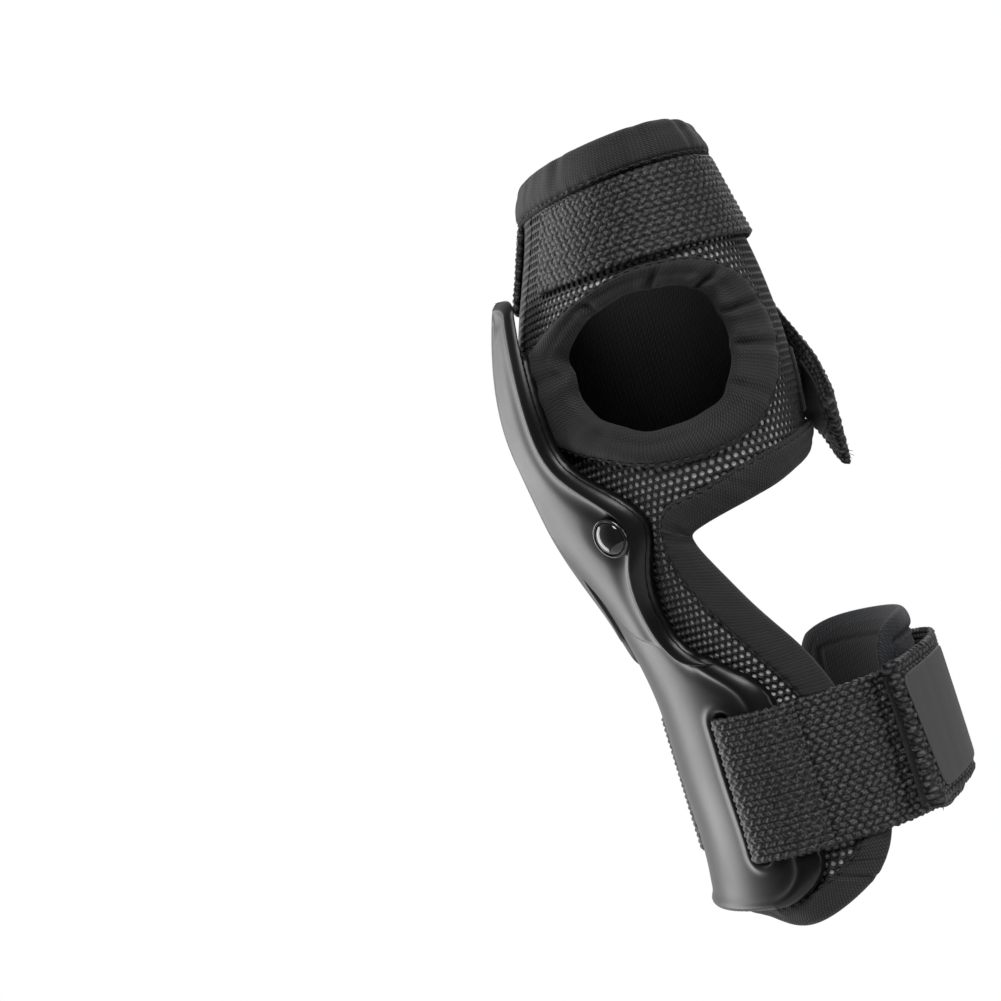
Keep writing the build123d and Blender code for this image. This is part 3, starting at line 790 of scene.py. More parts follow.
def rivet_frame(side):
    """A matrix with Z out of the cap at a rivet."""
    y = side * RIVET_Y
    step = 0.5
    at = splint_point(y, RIVET_Z, 1.2)
    along_y = splint_point(y + step, RIVET_Z, 1.2) - splint_point(y - step, RIVET_Z, 1.2)
    along_z = splint_point(y, RIVET_Z + step, 1.2) - splint_point(y, RIVET_Z - step, 1.2)
    normal = Vector(np.cross(along_z, along_y)).normalized()
    if normal.x > 0:
        normal = -normal
    turn = normal.to_track_quat("Z", "Y").to_matrix().to_4x4()
    return Matrix.Translation(Vector(at * MM)) @ turn


def make_rivets():
    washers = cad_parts["rivet_washers"]
    washers.material_slots[0].material = STEEL
    dome = [(0.02, 2.45), (0.9, 2.4), (1.8, 2.22), (2.7, 1.9), (3.5, 1.45), (4.1, 0.95), (4.45, 0.5),
            (4.5, 0.2)]
    rim = [(4.35, 0.1), (4.45, 0.62), (4.7, 0.82), (5.0, 0.8), (5.25, 0.55), (5.3, 0.2), (5.3, -0.5),
           (4.35, -0.5), (4.35, 0.1)]
    for side, label in ((-1, "thumb"), (1, "little")):
        matrix = rivet_frame(side)
        cap = lathe(f"rivet_dome_{label}", dome, matrix, RIVET_BLACK)
        place(cap, "guard", "rivet_black", "splint_rivets")
        ring = lathe(f"rivet_rim_{label}", rim, matrix, RIVET_RIM)
        place(ring, "guard", "rivet_black")


# ---- Sleeve ------------------------------------------------------------------------------------


def fabric_polygon(margin):
    """Outline of the laminate on the thumb side in (arc, height), grown under its edges by margin."""
    q = np.linspace(0, EDGE_END, 260)
    seam, edge = seam_line(q), free_edge(q)
    line = np.stack([angle_to_arc(seam[:, 0]), seam[:, 1]], -1)
    toward = np.stack([angle_to_arc(edge[:, 0]), edge[:, 1]], -1) - line
    line = line + toward / (np.linalg.norm(toward, axis=1, keepdims=True) + 1e-6) * margin
    far_arc = angle_to_arc(180.0) + 5
    top = TOP_SEAM_Z + margin
    return np.concatenate([line, [(far_arc, line[-1, 1]), (far_arc, top), (-5.0, top), (-5.0, line[0, 1])]])


def inside_polygon(x, y, polygon):
    inside = np.zeros(np.shape(x), bool)
    x1, y1 = polygon[:, 0], polygon[:, 1]
    x2, y2 = np.roll(x1, -1), np.roll(y1, -1)
    for a, b, c, d in zip(x1, y1, x2, y2):
        if b == d:
            continue
        crosses = ((b > y) != (d > y)) & (x < (c - a) * (y - b) / (d - b) + a)
        inside ^= crosses
    return inside


def in_fabric(arc, z, margin):
    """True where the laminate is, margin millimetres into its neoprene edges."""
    kept = inside_polygon(np.abs(arc), z, fabric_polygon(margin))
    angle = arc_to_angle(arc)
    point = sleeve_point(angle, z, 0.0)
    tx, tz, hx, hz = THUMB_SEAM
    ring = ((point[..., 0] - tx) / (hx - margin)) ** 2 + ((point[..., 2] - tz) / (hz - margin)) ** 2
    return kept & ~((ring < 1) & (arc > 0) & (angle < 175))


def make_mesh_net():
    """The outer mesh: a net of hexagonal cells with a sunk round hole in each."""
    pitch = 2.15
    row = pitch * math.sqrt(3) / 2
    arcs = np.arange(-140, 141)
    rows = np.arange(int(-92 / row), int(106 / row))
    ii, jj = np.meshgrid(arcs, rows, indexing="ij")
    arc = (ii + 0.5 * (jj % 2)) * pitch
    z = jj * row
    limit = angle_to_arc(180.0)
    keep = (np.abs(arc) <= limit) & in_fabric(arc, z, 0.9)
    arc, z = arc[keep], z[keep]
    corner = np.radians(30 + 60 * np.arange(6))
    hole = np.radians(30 + 30 * np.arange(12))
    corner_uv = np.stack([np.cos(corner), np.sin(corner)], -1) * pitch / math.sqrt(3)
    rim_uv = np.stack([np.cos(hole), np.sin(hole)], -1) * 0.80 * [1.0, 0.88]
    hole_uv = np.stack([np.cos(hole), np.sin(hole)], -1) * 0.66 * [1.0, 0.88]
    local = np.concatenate([corner_uv, rim_uv, hole_uv])
    height = np.concatenate([np.full(6, 0.05), np.full(12, -0.12), np.full(12, -0.75)])
    faces = []
    for k in range(6):
        a, b = 6 + 2 * k, 6 + (2 * k + 1) % 12
        c = 6 + (2 * k + 2) % 12
        faces += [[k, (k + 1) % 6, b], [k, b, a], [(k + 1) % 6, c, b]]
    for k in range(12):
        n = (k + 1) % 12
        faces.append([6 + k, 6 + n, 18 + n, 18 + k])
    u = arc[:, None] + local[None, :, 0]
    v = z[:, None] + local[None, :, 1]
    verts = sleeve_point(arc_to_angle(np.clip(u, -limit, limit)), v, height[None, :])
    count = len(arc)
    all_faces = [[f + 30 * c for f in face] for c in range(count) for face in faces]
    obj = new_object("mesh_shell_net", verts.reshape(-1, 3), all_faces, MESH_YARN)
    weld(obj, 0.03 * MM)
    return place(obj, "guard", "mesh_fabric", "mesh_shell")


def make_layer(name, high, low, material, slot, node_name):
    """One closed layer of the laminate between two offsets."""
    step = 1.6
    limit = angle_to_arc(180.0)
    arcs = np.linspace(-limit, limit, int(2 * limit / step))
    z = spaced(-88.0, TOP_SEAM_Z + 3.0, step)
    aa, zz = np.meshgrid(arcs, z, indexing="ij")
    centre_a = (aa[:-1, :-1] + aa[1:, 1:]) / 2
    centre_z = (zz[:-1, :-1] + zz[1:, 1:]) / 2
    keep = in_fabric(centre_a, centre_z, 2.0)
    angle = arc_to_angle(aa)
    obj = slab_object(name, sleeve_point(angle, zz, high), sleeve_point(angle, zz, low), material,
                      np.stack([aa, zz], -1), keep)
    return place(obj, "guard", slot, node_name)


def sleeve_normal(points):
    """Directions out of the sleeve at points near it."""
    cx, ax, ay = np.moveaxis(sleeve_section(points[:, 2]), -1, 0)
    angle = np.degrees(np.arctan2(-points[:, 1] / ay, (points[:, 0] - cx) / ax))
    here = sleeve_point(angle, points[:, 2], 0.0)
    round_it = sleeve_point(angle + 0.5, points[:, 2], 0.0) - here
    up_it = sleeve_point(angle, points[:, 2] + 0.5, 0.0) - here
    return unit(np.cross(up_it, round_it))


def edge_strip(name, edge, seam, q, closed, puff, folds, seed, side=1):
    """A neoprene edge: puffed up, rolled round the free edge, and drawn in along its seam.

    folds are (curve parameter, depth, breadth) of the dips across it."""
    e, m = edge(q), seam(q)
    e3, m3 = sleeve_point(e[:, 0], e[:, 1], 0), sleeve_point(m[:, 0], m[:, 1], 0)
    width = np.linalg.norm(e3 - m3, axis=1)
    mid = sleeve_point((e[:, 0] + m[:, 0]) / 2, (e[:, 1] + m[:, 1]) / 2, 0)
    run = length_along(mid)
    half = EDGE_T / 2
    centre = -LAMINATE_T / 2
    outer_w = 1 - np.array([0, 0.05, 0.1, 0.15, 0.2, 0.25, 0.3, 0.36, 0.44, 0.54, 0.65, 0.77, 0.88, 1.0])
    arc_a = np.radians(np.linspace(90, -90, 11))
    rows, lateral = [], []
    radius = np.minimum(half, width * 0.8)
    for w in outer_w[:-1]:
        flat = radius / width + (1 - radius / width) * w
        crown = puff * np.sin(np.pi * np.clip((1 - w) * 0.9 + 0.1, 0, 1)) ** 0.8
        depth = (1 - w) * width
        tuck = -1.15 * bell(depth, 0, 0.75)
        groove = -0.6 * bell(depth, SEW_IN, 0.55)
        gather = np.sin(2 * np.pi * run / SEW_PITCH + 3 * smooth_noise(run / 25, seed))
        pucker = 0.26 * gather * bell(depth, SEW_IN, 2.6)
        rows.append((flat, centre + half + crown + tuck + groove + pucker))
        lateral.append(depth)
    for a in arc_a:
        flat = radius / width * (1 - np.cos(a))
        rows.append((flat, np.full(len(width), centre + half * np.sin(a))))
        lateral.append(width + radius * (math.pi / 2 - a))
    for w in outer_w[::-1][1:]:
        flat = radius / width + (1 - radius / width) * w
        crown = 0.35 * np.sin(np.pi * (1 - w))
        groove = 0.7 * bell((1 - w) * width, 0, 1.1)
        rows.append((flat, centre - half - crown + groove))
        lateral.append(width * (1 + w) + radius * math.pi)
    flat = np.array([r[0] for r in rows])
    off = np.array([r[1] for r in rows])
    soft = 0.22 * smooth_noise(run / 22.0, seed + 5)
    bulge = bell(flat, 0.35, 0.4)
    off = off + soft[None, :] * bulge * np.where(off > centre, 1, -0.3)
    for place_q, depth, breadth in folds:
        at = np.interp(place_q, q, run)
        gap = np.abs(run - at)
        gap = np.minimum(gap, run[-1] - gap) if closed else gap
        dip = bell(gap, 0, breadth) - 0.45 * bell(gap, 2.2 * breadth, 1.3 * breadth)
        shape = np.where(off > centre, 1.0, 0.2) * np.clip(1.15 - flat, 0, 1)
        off = off - depth * dip[None, :] * shape
    angle = e[None, :, 0] + (m[None, :, 0] - e[None, :, 0]) * flat
    height = e[None, :, 1] + (m[None, :, 1] - e[None, :, 1]) * flat
    points = sleeve_point(angle * side, height, off)
    n, k = points.shape[:2]
    across = np.array([np.broadcast_to(r, k) for r in lateral])
    uv = np.stack([np.broadcast_to(run, (n, k)), across], -1)
    faces = quads(n, k, close_u=True, close_v=closed).tolist()
    if not closed:
        faces.append([i * k for i in range(n)])
        faces.append([i * k + k - 1 for i in range(n)][::-1])
    if side < 0:
        faces = [f[::-1] for f in faces]
    obj = new_object(name, points.reshape(-1, 3), faces, NEOPRENE, uv.reshape(-1, 2))
    subdivide(obj)
    rows = len(outer_w) - 1
    line, inner = (
        np.array([interp_rows(depth, across[:rows, j], points[:rows, j]) for j in range(k)])
        for depth in (SEW_IN, SEW_IN + 1)
    )
    if closed:
        line, inner = np.concatenate([line, line[:1]]), np.concatenate([inner, inner[:1]])
    along = unit(np.gradient(line, axis=0))
    outward = unit(np.cross(along, inner - line))
    outward *= np.sign(np.sum(outward * sleeve_normal(line), 1, keepdims=True))
    stitches_along(f"{name}_stitches", line + 0.12 * outward, length_along(line), outward, SEW_PITCH, "guard")
    return obj


def tube_points(middle, radius, side, other, ring):
    """Points of a thread: rings about each point of its middle line."""
    return middle[:, None, :] + radius * (
        np.cos(ring)[None, :, None] * side[:, None, :] + np.sin(ring)[None, :, None] * other[:, None, :])


def stitches_along(name, at, run, outward, pitch, body, radius=0.28, fill=0.66):
    """A row of stitches along a line of points, each sunk into the cloth at both ends."""
    verts, faces = [], []
    count = max(1, int(run[-1] / pitch))
    ring = np.linspace(0, 2 * np.pi, 7)[:-1]
    stations = np.array([0.0, 0.06, 0.25, 0.5, 0.75, 0.94, 1.0])
    swell = np.array([0.15, 0.7, 1.0, 1.0, 1.0, 0.7, 0.15])
    lift = np.array([-0.35, -0.1, 0.12, 0.2, 0.12, -0.1, -0.35])
    for c in range(count):
        s = (c + stations * fill + 0.15) * run[-1] / count
        mid = interp_rows(s, run, at)
        up = unit(interp_rows(s, run, outward))
        cross = np.cross(unit(np.gradient(mid, axis=0)), up)
        tube = tube_points(mid + up * lift[:, None], radius * swell[:, None, None], cross, up, ring)
        faces += quads(len(stations), len(ring), c * len(stations) * len(ring), close_v=True).tolist()
        verts.append(tube.reshape(-1, 3))
    obj = new_object(name, np.concatenate(verts), faces, THREAD)
    return place(obj, body, "webbing")


def top_edge(q):
    """The fingers' opening, a little lower over the back of the hand."""
    return np.stack([q, TOP_Z - 3.6 * bell(q, 0, 42.0)], -1)


def top_seam(q):
    return np.stack([q, np.full_like(q, TOP_SEAM_Z - 0.6)], -1)


def both_sides(curve):
    """A side curve run through the back of the hand on to the other side, at parameters below 0."""

    def at(q):
        angle, z = np.moveaxis(curve(np.abs(q)), -1, 0)
        return np.stack([angle * np.sign(q + 1e-9), z], -1)

    return at


def past_palm(curve):
    """A side curve run past the palm's middle on to the other side."""

    def at(q):
        angle, z = np.moveaxis(curve(np.minimum(q, 2 * EDGE_END - q)), -1, 0)
        return np.stack([np.where(q <= EDGE_END, angle, 360 - angle), z], -1)

    return at


def make_edges():
    """All the neoprene edges and their stitches."""
    q = np.linspace(-180, 180, 220, endpoint=False)
    folds = [(38.0, 1.4, 1.8), (64.0, 0.9, 1.5), (96.0, 1.2, 1.6), (-70.0, 0.8, 2.4), (150.0, 0.8, 2.2)]
    top = edge_strip("top_binding_roll", top_edge, top_seam, q, True, puff=1.2, folds=folds, seed=3)
    place(top, "guard", "neoprene", "top_binding")
    q = np.linspace(0, 1, 150, endpoint=False)
    folds = [(0.235, 3.2, 1.0), (0.14, 2.8, 1.2), (0.055, 2.2, 1.0), (0.975, 1.8, 1.1), (0.47, 1.2, 1.6),
             (0.885, 1.3, 1.3), (0.62, 0.7, 2.0), (0.335, 2.2, 1.1)]
    ring = edge_strip("thumb_hole_roll", thumb_edge, thumb_seam, q, True, puff=2.0, folds=folds, seed=9)
    place(ring, "guard", "neoprene", "thumb_hole_binding")
    q = np.linspace(-NOTCH_S, NOTCH_S, 210)
    folds = [(5.3, 0.7, 1.2), (3.4, 0.35, 1.6), (-5.3, 0.7, 1.2), (-2.6, 0.4, 1.8)]
    wrist = edge_strip("dorsal_wrist_roll", both_sides(free_edge), both_sides(seam_line), q, False, puff=1.0,
                       folds=folds, seed=15)
    place(wrist, "guard", "neoprene", "dorsal_wrist_binding")
    q = np.linspace(NOTCH_S - 0.06, FOOT_S, 150)
    folds = [(NOTCH_S + 0.25, 0.5, 1.2)]
    for side, label in ((1, "radial"), (-1, "ulnar")):
        facing = edge_strip(f"{label}_edge_roll", free_edge, seam_line, q, False, puff=0.6, folds=folds,
                            seed=21, side=side)
        place(facing, "guard", "neoprene", f"{label}_edge_facing")
    q = np.linspace(FOOT_S - 0.05, 2 * EDGE_END - FOOT_S + 0.05, 170)
    folds = [(FOOT_S + 0.55, 0.9, 0.7), (2 * EDGE_END - FOOT_S - 0.55, 0.9, 0.7), (EDGE_END, 0.4, 3.0)]
    foot = edge_strip("forearm_end_roll", past_palm(free_edge), past_palm(seam_line), q, False, puff=0.9,
                      folds=folds, seed=27)
    place(foot, "guard", "neoprene", "forearm_end_binding")


# ---- Webbing -----------------------------------------------------------------------------------


def weave(u, v):
    """Relief of coarse webbing, 0 in the gaps to 1 on the yarns: staggered slanted floats."""
    pitch_u, pitch_v = 2.35, 1.55
    column = np.floor(v / pitch_v)
    lv = v / pitch_v - column - 0.5
    sign = np.where(column % 2 == 0, 1.0, -1.0)
    along = u / pitch_u + 0.5 * (column % 2) + 0.42 * lv * sign
    lu = along - np.floor(along) - 0.5
    lv = lv * 0.94
    return (np.clip(1 - (2 * lu) ** 2, 0, 1) * np.clip(1 - (2 * lv) ** 2, 0, 1)) ** 0.5


WEBBING_STEP = 0.4  # between two stations along a webbing


def webbing_strip(name, centre, out, across, half_w, thickness, cut=None):
    """Woven webbing along a path: centre, outward and width directions at each station, in millimetres.

    With cut, a fraction of its length, name is two names and the webbing is made as two pieces."""
    relief, edge_round = 0.8, 0.7
    run = length_along(centre)
    v = spaced(-half_w, half_w, 0.325)
    uu, vv = np.meshgrid(run, v, indexing="ij")
    h = weave(uu, vv + 40.0)
    side_fall = np.clip((np.abs(vv) - (half_w - 0.9)) / 0.9, 0, 1) ** 2
    selvedge = 0.16 * np.sin(2 * np.pi * uu / 2.1) * (np.abs(vv) > half_w - 0.7) * np.sign(vv)
    h = h * (0.86 + 0.14 * np.sin(uu * 1.9 + 2.1 * np.sin(vv * 0.8)))
    top = thickness / 2 + relief * (h - 0.6) - edge_round * side_fall
    low = -thickness / 2 - relief * (weave(uu + 1.05, vv + 40.0) - 0.6) + edge_round * side_fall
    low = np.minimum(low, top - 0.25)
    base = centre[:, None, :] + across[:, None, :] * (vv + selvedge)[..., None]
    outer = base + out[:, None, :] * top[..., None]
    inner = base + out[:, None, :] * low[..., None]
    # painted shade: this value darkens the colour in the gaps between the yarns and on the edges that roll
    # away
    shade = h * (1 - 0.3 * side_fall)
    uv = np.stack([uu, vv], -1)
    if cut is None:
        return slab_object(name, outer, inner, WEBBING, uv, attribute=shade)
    k = int(cut * len(run))
    parts = ((name[0], slice(0, k + 1)), (name[1], slice(k, None)))
    return [slab_object(n, outer[r], inner[r], WEBBING, uv[r], attribute=shade[r]) for n, r in parts]


def resample(points, step, fineness):
    """A smooth curve through given points, at even steps of its length, and those lengths."""
    points = np.asarray(points, float)
    chord = np.concatenate([[0], np.cumsum(np.linalg.norm(np.diff(points, axis=0), axis=1) ** 0.5)])
    fine = natural_spline(chord, points)(np.linspace(0, chord[-1], fineness))
    run = length_along(fine)
    s = spaced(0, run[-1], step)
    return interp_rows(s, run, fine), s


def cuff_xy(angle, off):
    turn = np.radians(angle)
    return np.stack([CUFF_CX + (CUFF_AX + off) * np.cos(turn), -(CUFF_AY + off) * np.sin(turn)], -1)


def pleats(u):
    """Small ripples in the webbing where it is gathered beside the slot, u along its length."""
    return 0.30 * np.sin(2 * np.pi * u / 3.9) * bell(u, 69.0, 9.0)


NO_CHANGE = ([0, 1], [0, 0])


def cuff_strip(name, route, thickness, shift=NO_CHANGE, tilt=NO_CHANGE, outward=1.0, cut=None):
    """Webbing standing round the forearm. route is (angle, offset) pairs on its middle line.

    shift is how far it rises and tilt how many degrees it leans, each as fractions and values."""
    angle, off = np.array(route, float).T
    path, _ = resample(cuff_xy(angle, off), WEBBING_STEP, 1500)
    way = unit(np.gradient(path, axis=0))
    ripple = pleats(np.arange(len(path)) * WEBBING_STEP)
    path = path + np.stack([way[:, 1], -way[:, 0]], -1) * ripple[:, None]
    tangent = unit(np.gradient(path, axis=0))
    out = np.stack([tangent[:, 1], -tangent[:, 0], np.zeros(len(path))], -1) * outward
    fraction = np.linspace(0, 1, len(path))
    z = CUFF_MID_Z + np.interp(fraction, *shift)
    centre = np.concatenate([path, z[:, None]], 1)
    flat = np.concatenate([tangent, np.zeros((len(path), 1))], 1)
    lean = np.radians(np.interp(fraction, *tilt))
    across = np.array([0, 0, 1.0]) * np.cos(lean)[:, None] + flat * np.sin(lean)[:, None]
    return webbing_strip(name, centre, out, across, CUFF_HALF_W, thickness, cut)


# Middle line of the webbing round a slot bar, from its sewn end to the strap that leaves the seam.
BAR_LOOP = [(113.2, 3.9), (116.0, 4.3), (121.0, 5.1), (129.0, 6.1), (138.0, 6.3), (144.5, 6.35), (147.3, 5.2),
            (146.8, 3.8), (145.6, 2.2), (143.0, 1.1), (136.0, 0.95), (126.0, 1.0), (118.0, 1.5), (113.0, 2.3)]
RADIAL_RUN = [(106.0, 2.15), (98.0, 2.1), (88.0, 2.0), (76.0, 1.4), (64.0, 1.15), (48.0, 1.15), (30.0, 1.15),
              (12.0, 1.15), (-8.0, 1.15), (-22.0, 1.15)]
ULNAR_RUN = [(-106.0, 2.2), (-98.0, 2.4), (-86.0, 3.0), (-72.0, 4.2), (-56.0, 5.0), (-38.0, 5.05),
             (-18.0, 5.05), (0.0, 5.05), (13.4, 5.05)]
TAB_RUN = [(18.0, 5.05), (26.0, 5.1), (34.0, 5.15), (44.0, 5.25), (54.0, 5.6), (63.0, 6.8), (71.0, 8.6),
           (73.2, 8.0), (71.9, 6.4), (66.0, 4.7), (56.0, 3.5)]


def cuff_surface(angle, z, off):
    angle, z, off = np.broadcast_arrays(angle, z, off)
    return np.concatenate([cuff_xy(angle, off), z[..., None]], -1)


def seam_across(name, side, angle, off, seed):
    """A row of stitches square across the cuff's webbing."""
    half_w = CUFF_HALF_W - 1.5
    z = spaced(CUFF_MID_Z - half_w, CUFF_MID_Z + half_w, 0.5)
    turn = side * (angle + 0.35 * smooth_noise(z / 14.0, seed))
    at, above = cuff_surface(turn, z, off), cuff_surface(turn, z, off + 1.0)
    stitches_along(name, at, length_along(at), above - at, 2.6, "guard", 0.26, fill=0.72)


def bend_over(piece):
    """Bakes the piece's placement into its points."""
    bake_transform(piece)


def make_cuff():
    """The cuff's webbing, from each slot bar to the middle of the back, and the seams at the bars."""
    strap = cuff_strip("radial_strap", BAR_LOOP + RADIAL_RUN, 1.5)
    bend_over(strap)
    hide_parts("radial_strap_anchor", "radial_cuff_strap")
    make_little_finger_strap()
    for side, label in ((1, "radial"), (-1, "ulnar")):
        for k, (angle, off) in enumerate(((115.2, 4.95), (118.0, 5.35))):
            seam_across(f"{label}_anchor_seam_{k + 1}", side, angle, off, 31 + k)


def make_little_finger_strap():
    """The long half of the cuff and the tab at its end: one webbing, cut in two where nothing bends."""
    route = [(-a, off) for a, off in BAR_LOOP] + ULNAR_RUN + TAB_RUN
    shift = ([0, 0.3, 0.58, 0.72, 1.0], [0, 0, 3.2, 4.4, 1.4])
    tilt = ([0, 0.3, 0.6, 0.75, 1.0], [0, 0, 3.0, 8.0, 8.0])
    names = ("ulnar_strap", "cuff_tab_webbing")
    strap, tab = cuff_strip(names, route, 1.45, shift, tilt, outward=-1.0, cut=0.5)
    bend_over(strap)
    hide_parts("ulnar_strap_anchor", "ulnar_cuff_strap")
    bend_over(tab)
    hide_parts("cuff_tab")


def tape(name, surface, u_range, v_range, low, high, material, slot, body, node_name, pile=0.2, pitch=None,
         seed=5):
    """Hook or loop tape: a thin plate whose face stands up in hooks or a matted pile."""
    u, v = spaced(*u_range, 0.42), spaced(*v_range, 0.42)
    uu, vv = np.meshgrid(u, v, indexing="ij")
    if pitch:
        face = np.clip(np.cos(2 * np.pi * uu / pitch) * np.cos(2 * np.pi * vv / pitch), 0, 1)
    else:
        face = np.random.default_rng(seed).random(uu.shape)
    edge = np.minimum(np.minimum(uu - u[0], u[-1] - uu), np.minimum(vv - v[0], v[-1] - vv))
    rise = pile * (face - 0.6) * (edge > 0.8) - 0.25 * (edge < 0.2)
    outer = surface(uu, vv, high + (rise if high > low else 0))
    inner = surface(uu, vv, low)
    obj = slab_object(name, outer, inner, material, np.stack([uu, vv], -1))
    return place(obj, body, slot, node_name)


def label_grid(surface, half_u, half_v, thickness, corner):
    """A bevelled plate with rounded corners; returns its outer and inner points."""
    p = np.concatenate([[-1, -0.985], np.linspace(-0.95, 0.95, 25), [0.985, 1]])
    pp, qq = np.meshgrid(p, p, indexing="ij")
    reach = corner * (1 - math.sqrt(0.5))
    uu = half_u * pp - np.sign(pp) * reach * np.abs(pp * qq) ** 14
    vv = half_v * qq - np.sign(qq) * reach * np.abs(pp * qq) ** 14
    edge = np.maximum(np.abs(pp), np.abs(qq))
    fall = np.where(edge > 0.99, 0.3, np.where(edge > 0.97, 0.08, 0.0))
    return surface(uu, vv, thickness - fall), surface(uu, vv, 0.0), np.stack([uu, vv], -1)


def make_cuff_details():
    """Loop field, hook tape and the plain patch."""
    half = CUFF_HALF_W - 2.0

    def field(u, v, off):
        return cuff_surface(u / DEGREE_MM, CUFF_MID_Z + v, off)

    def under_tab(u, v, off):
        return cuff_surface(u / DEGREE_MM, CUFF_MID_Z + 2.4 + v, off)

    tape("cuff_loop_tape", field, (-22 * DEGREE_MM, 72 * DEGREE_MM), (-half, half), 1.97, 2.72, LOOP,
         "loop_tape", "radial_cuff", "cuff_loop_field")
    tape("cuff_hook_tape", under_tab, (18 * DEGREE_MM, 53.5 * DEGREE_MM), (-half, half - 2), 4.15, 3.3, HOOK,
         "hook_tape", "cuff_tab", "cuff_tab_hook", pile=0.3, pitch=1.26)

    def patch(u, v, off):
        angle = 48.5 + u / DEGREE_MM + 0.2 * v
        lift = np.interp(angle, [44.0, 54.0, 63.0, 71.0], [6.1, 6.45, 7.65, 9.45])
        return cuff_surface(angle, CUFF_MID_Z + 3.0 + v - 0.1 * u, lift + off)

    outer, inner, uv = label_grid(patch, 12.4, 15.0, 0.75, 2.5)
    label = slab_object("cuff_patch", outer, inner, LABEL, uv)
    place(label, "cuff_tab", "label_grey", "cuff_label_patch")


# ---- Comfort pad -------------------------------------------------------------------------------


def make_comfort_pad():
    """The puffed neoprene pad under the cuff, with a bound edge, and its soft inner face."""
    half_arc = 39.0
    bound = 6.0  # breadth of the bound edge
    mid_z, half_z = (PAD_LOW[2] + PAD_HIGH[2]) / 2, (PAD_HIGH[2] - PAD_LOW[2]) / 2
    p = np.sin(np.linspace(-np.pi / 2, np.pi / 2, 97))
    pp, qq = np.meshgrid(p, p, indexing="ij")
    uu = half_arc * pp * (1 - 0.10 * qq**6)
    vv = half_z * qq * (1 - 0.12 * pp**6)
    edge = np.minimum((1 - np.abs(pp)) * half_arc, (1 - np.abs(qq)) * half_z)
    full = (1 - np.abs(pp) ** 9) ** 0.5 * (1 - np.abs(qq) ** 9) ** 0.5
    groove = bell(edge, bound, 0.7)
    pucker = 0.14 * np.sin(2 * np.pi * (uu + vv) / SEW_PITCH) * bell(edge, bound, 2.4)
    waves = 0.35 * smooth_noise(uu / 30.0, 41) + 0.25 * smooth_noise(vv / 26.0, 43)
    flare = 1.6 * np.clip((vv / half_z - 0.35) / 0.65, 0, 1) ** 2
    crown = np.where(edge < bound, 0.45 * np.sin(np.pi * np.clip(edge / bound, 0, 1)), 0.3)
    middle = -2.5 + flare
    outer_off = middle + full * (2.35 + crown + pucker + 0.5 * waves - 0.8 * groove)
    inner_off = middle - full * (2.2 + 0.6 * crown - 0.5 * groove)
    outer_off = np.minimum(outer_off, np.where(np.abs(vv) < CUFF_HALF_W, 0.28, 3.0))
    outer, inner = (cuff_surface(uu / DEGREE_MM, mid_z + vv, off) for off in (outer_off, inner_off))
    pad = slab_object("comfort_pad", outer, inner, PAD_KNIT, np.stack([uu, vv], -1))
    weld(pad, 0.01 * MM)
    subdivide(pad)
    place(pad, "radial_cuff", "neoprene", "dorsal_pad")
    inset = 0.95
    low = inner_off - 0.04
    outer = cuff_surface(inset * uu / DEGREE_MM, mid_z + inset * vv, low)
    inner = cuff_surface(inset * uu / DEGREE_MM, mid_z + inset * vv, low - 0.65 * full - 0.05)
    liner = slab_object("comfort_pad_liner", outer, inner, LINING, np.stack([uu, vv], -1))
    place(liner, "radial_cuff", "lining", "dorsal_pad_liner")


# ---- Hand strap --------------------------------------------------------------------------------


def back_angle(y, z):
    """The angle on the back of the hand at which the sleeve has this y."""
    return -np.degrees(np.arcsin(y / sleeve_section(z)[..., 2]))


def hand_webbing(name, route, half_w, thickness, diagonal_from=None):
    """Webbing on the sleeve. route is (angle, height, offset) on its middle line.

    diagonal_from is the two fractions of its length between which it turns to run at 45 degrees."""
    points = [sleeve_point(a, z, off) for a, z, off in route]
    centre, run = resample(points, WEBBING_STEP, 2500)
    tangent = unit(np.gradient(centre, axis=0))
    normal = sleeve_normal(centre)
    lean = np.zeros(len(centre))
    if diagonal_from is not None:
        first, last = diagonal_from
        lean = np.clip((run / run[-1] - first) / (last - first), 0, 1)
    lean = (lean * lean * (3 - 2 * lean))[:, None]
    guide = (1 - lean) * np.array([0, 0, 1.0]) + lean * np.array([0, -0.7071, 0.7071])
    across = guide - np.sum(guide * normal, 1, keepdims=True) * normal
    across = unit(across - np.sum(across * tangent, 1, keepdims=True) * tangent)
    out = np.cross(across, tangent)
    if np.sum(out[0] * normal[0]) < 0:
        out = -out
    return webbing_strip(name, centre, out, across, half_w, thickness)


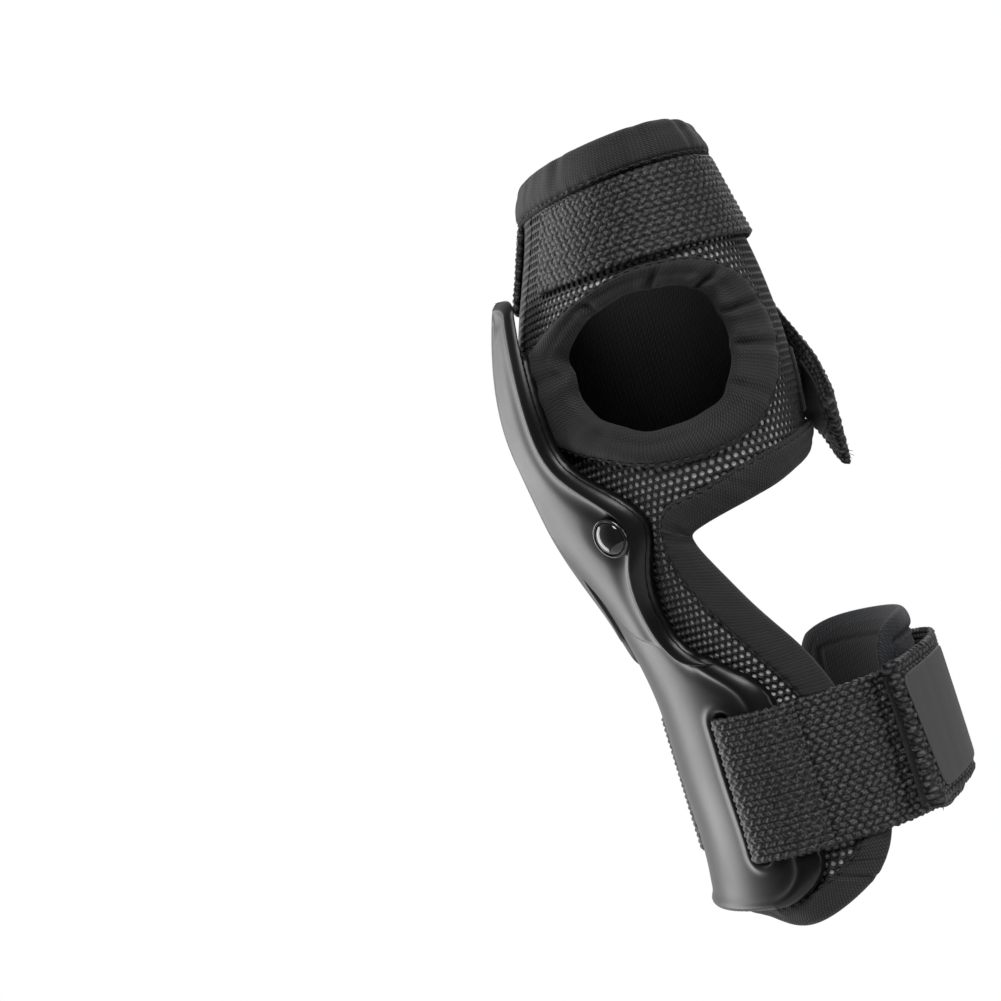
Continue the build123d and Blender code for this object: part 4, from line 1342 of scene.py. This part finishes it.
def make_hand_strap():
    """The webbing over the hand, with its free tab folded under at the tip."""
    z = HAND_STRAP_Z
    radial = [(a, z, 1.4) for a in (163, 140, 118, 96, 74, 52, 32, 12, -10)]
    strap = hand_webbing("hand_strap_thumb_half", radial, HAND_HALF_W, 1.5)
    place(strap, "guard", "webbing", "hand_strap_radial")
    ulnar = [(a, z, 1.4) for a in (-163, -145, -125, -105, -86)]
    ulnar += [(-69, z - 0.6, 1.4), (-53, z - 4.6, 1.4)]
    over_back = [(22, 75.5, 1.3), (12, 64.6, 1.2), (5, 56.4, 1.3), (1, 51.2, 1.7), (-2.2, 47.8, 2.4)]
    tab = [(-8, 42.0, 3.7), (-13, 37.0, 5.1), (-18.5, 31.5, 6.9), (-22.4, 27.6, 8.4), (-24.0, 26.0, 8.2),
           (-23.0, 27.2, 6.9), (-18.5, 31.7, 5.3), (-12, 38.0, 3.2)]
    ulnar += [(float(back_angle(y, h)), h, off) for y, h, off in over_back + tab]
    strap = hand_webbing("hand_strap_little_half", ulnar, 11.6, 1.4, diagonal_from=(0.42, 0.56))
    bend_y, bend_z = np.array([1.0, -6.0]), np.array([51.0, 44.0])
    top = sleeve_point(back_angle(bend_y, bend_z), bend_z, 3.6)
    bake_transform(strap)
    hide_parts("hand_strap_ulnar", "hand_strap_tab")
    along = np.array([-math.sqrt(0.5), -math.sqrt(0.5)])
    beside = np.array([-math.sqrt(0.5), math.sqrt(0.5)])

    def under_tab(u, v, off):
        y = -2.0 + along[0] * u + beside[0] * v
        h = 48.0 + along[1] * u + beside[1] * v
        lift = 2.5 + (u - 13.0) * 0.26
        return sleeve_point(back_angle(y, h), h, off + lift)

    tape("hand_hook_tape", under_tab, (12.5, 26.5), (-9.5, 9.5), 0.0, -0.8, HOOK, "hook_tape", "hand_tab",
         "hand_tab_hook", pile=0.3, pitch=1.26)

    def on_sleeve(u, v, off):
        return sleeve_point(back_angle(u, v), v, off)

    tape("hand_loop_tape", on_sleeve, (-24.0, -4.0), (33.0, 50.0), 0.12, 0.8, LOOP, "loop_tape", "guard",
         "hand_loop_patch", seed=17)


def frayed(name, corners, along, body, seed):
    """Loose yarn ends where webbing was cut, between the points of each pair, all pointing along."""
    rng = np.random.default_rng(seed)
    verts, faces = [], []
    ring = np.linspace(0, 2 * np.pi, 6)[:-1]
    along = unit(np.asarray(along, float))
    for first, last in corners:
        first, last = np.asarray(first, float), np.asarray(last, float)
        count = int(np.linalg.norm(last - first) / 0.8)
        for k in range(count):
            start = first + (last - first) * (k + rng.random()) / count
            bend = rng.normal(0, 0.55, 3)
            reach = 0.7 + 1.1 * rng.random() ** 2
            t = np.linspace(0, 1, 5)[:, None]
            line = start - along * 0.5 + along * (0.5 + reach) * t + bend * t**2
            tangent = unit(np.gradient(line, axis=0))
            side = unit(np.cross(tangent, [0.3, 0.5, 0.8]))
            other = np.cross(tangent, side)
            tube = tube_points(line, 0.11 * (1 - 0.5 * t)[:, None, :], side, other, ring)
            faces += quads(5, 5, 25 * len(verts), close_v=True).tolist()
            verts.append(tube.reshape(-1, 3))
    obj = new_object(name, np.concatenate(verts), faces, THREAD)
    return place(obj, body, "webbing")


def make_frayed_ends():
    """Fluff on the corners of the hand tab and of the cuff's tab."""
    tip = []
    for v in (-11.0, 11.0):
        y, z = -24.2 - v * math.sqrt(0.5), 25.8 + v * math.sqrt(0.5)
        tip.append(sleeve_point(back_angle(y, z), z, 7.6 + 0.08 * abs(v)))
    middle = (tip[0] + tip[1]) / 2
    frayed("hand_tab_fray", [(tip[0], middle), (tip[1], tip[1] * 0.6 + middle * 0.4)], (0.35, -0.6, -0.72),
           "hand_tab", 3)
    low = [np.append(cuff_xy(a, off), CUFF_LOW[2] + 2.0) for a, off in ((66.5, 7.2), (70.0, 7.6))]
    frayed("cuff_tab_fray", [(low[0], low[1])], (-0.3, -0.5, -0.8), "cuff_tab", 4)


# ---- Soft goods --------------------------------------------------------------------------------


make_camera()
make_world()
make_lights()
make_floor()
bpy.context.scene.view_settings.view_transform = "Standard"
make_tongue()
make_cap()
make_rivets()
make_mesh_net()
make_layer("foam_sheet", -0.62, -4.2, FOAM, "foam", "foam_core")
make_layer("lining_sheet", -4.35, -5.1, LINING, "lining", "comfort_lining")
make_edges()
make_cuff()
make_cuff_details()
make_comfort_pad()
make_hand_strap()
make_frayed_ends()
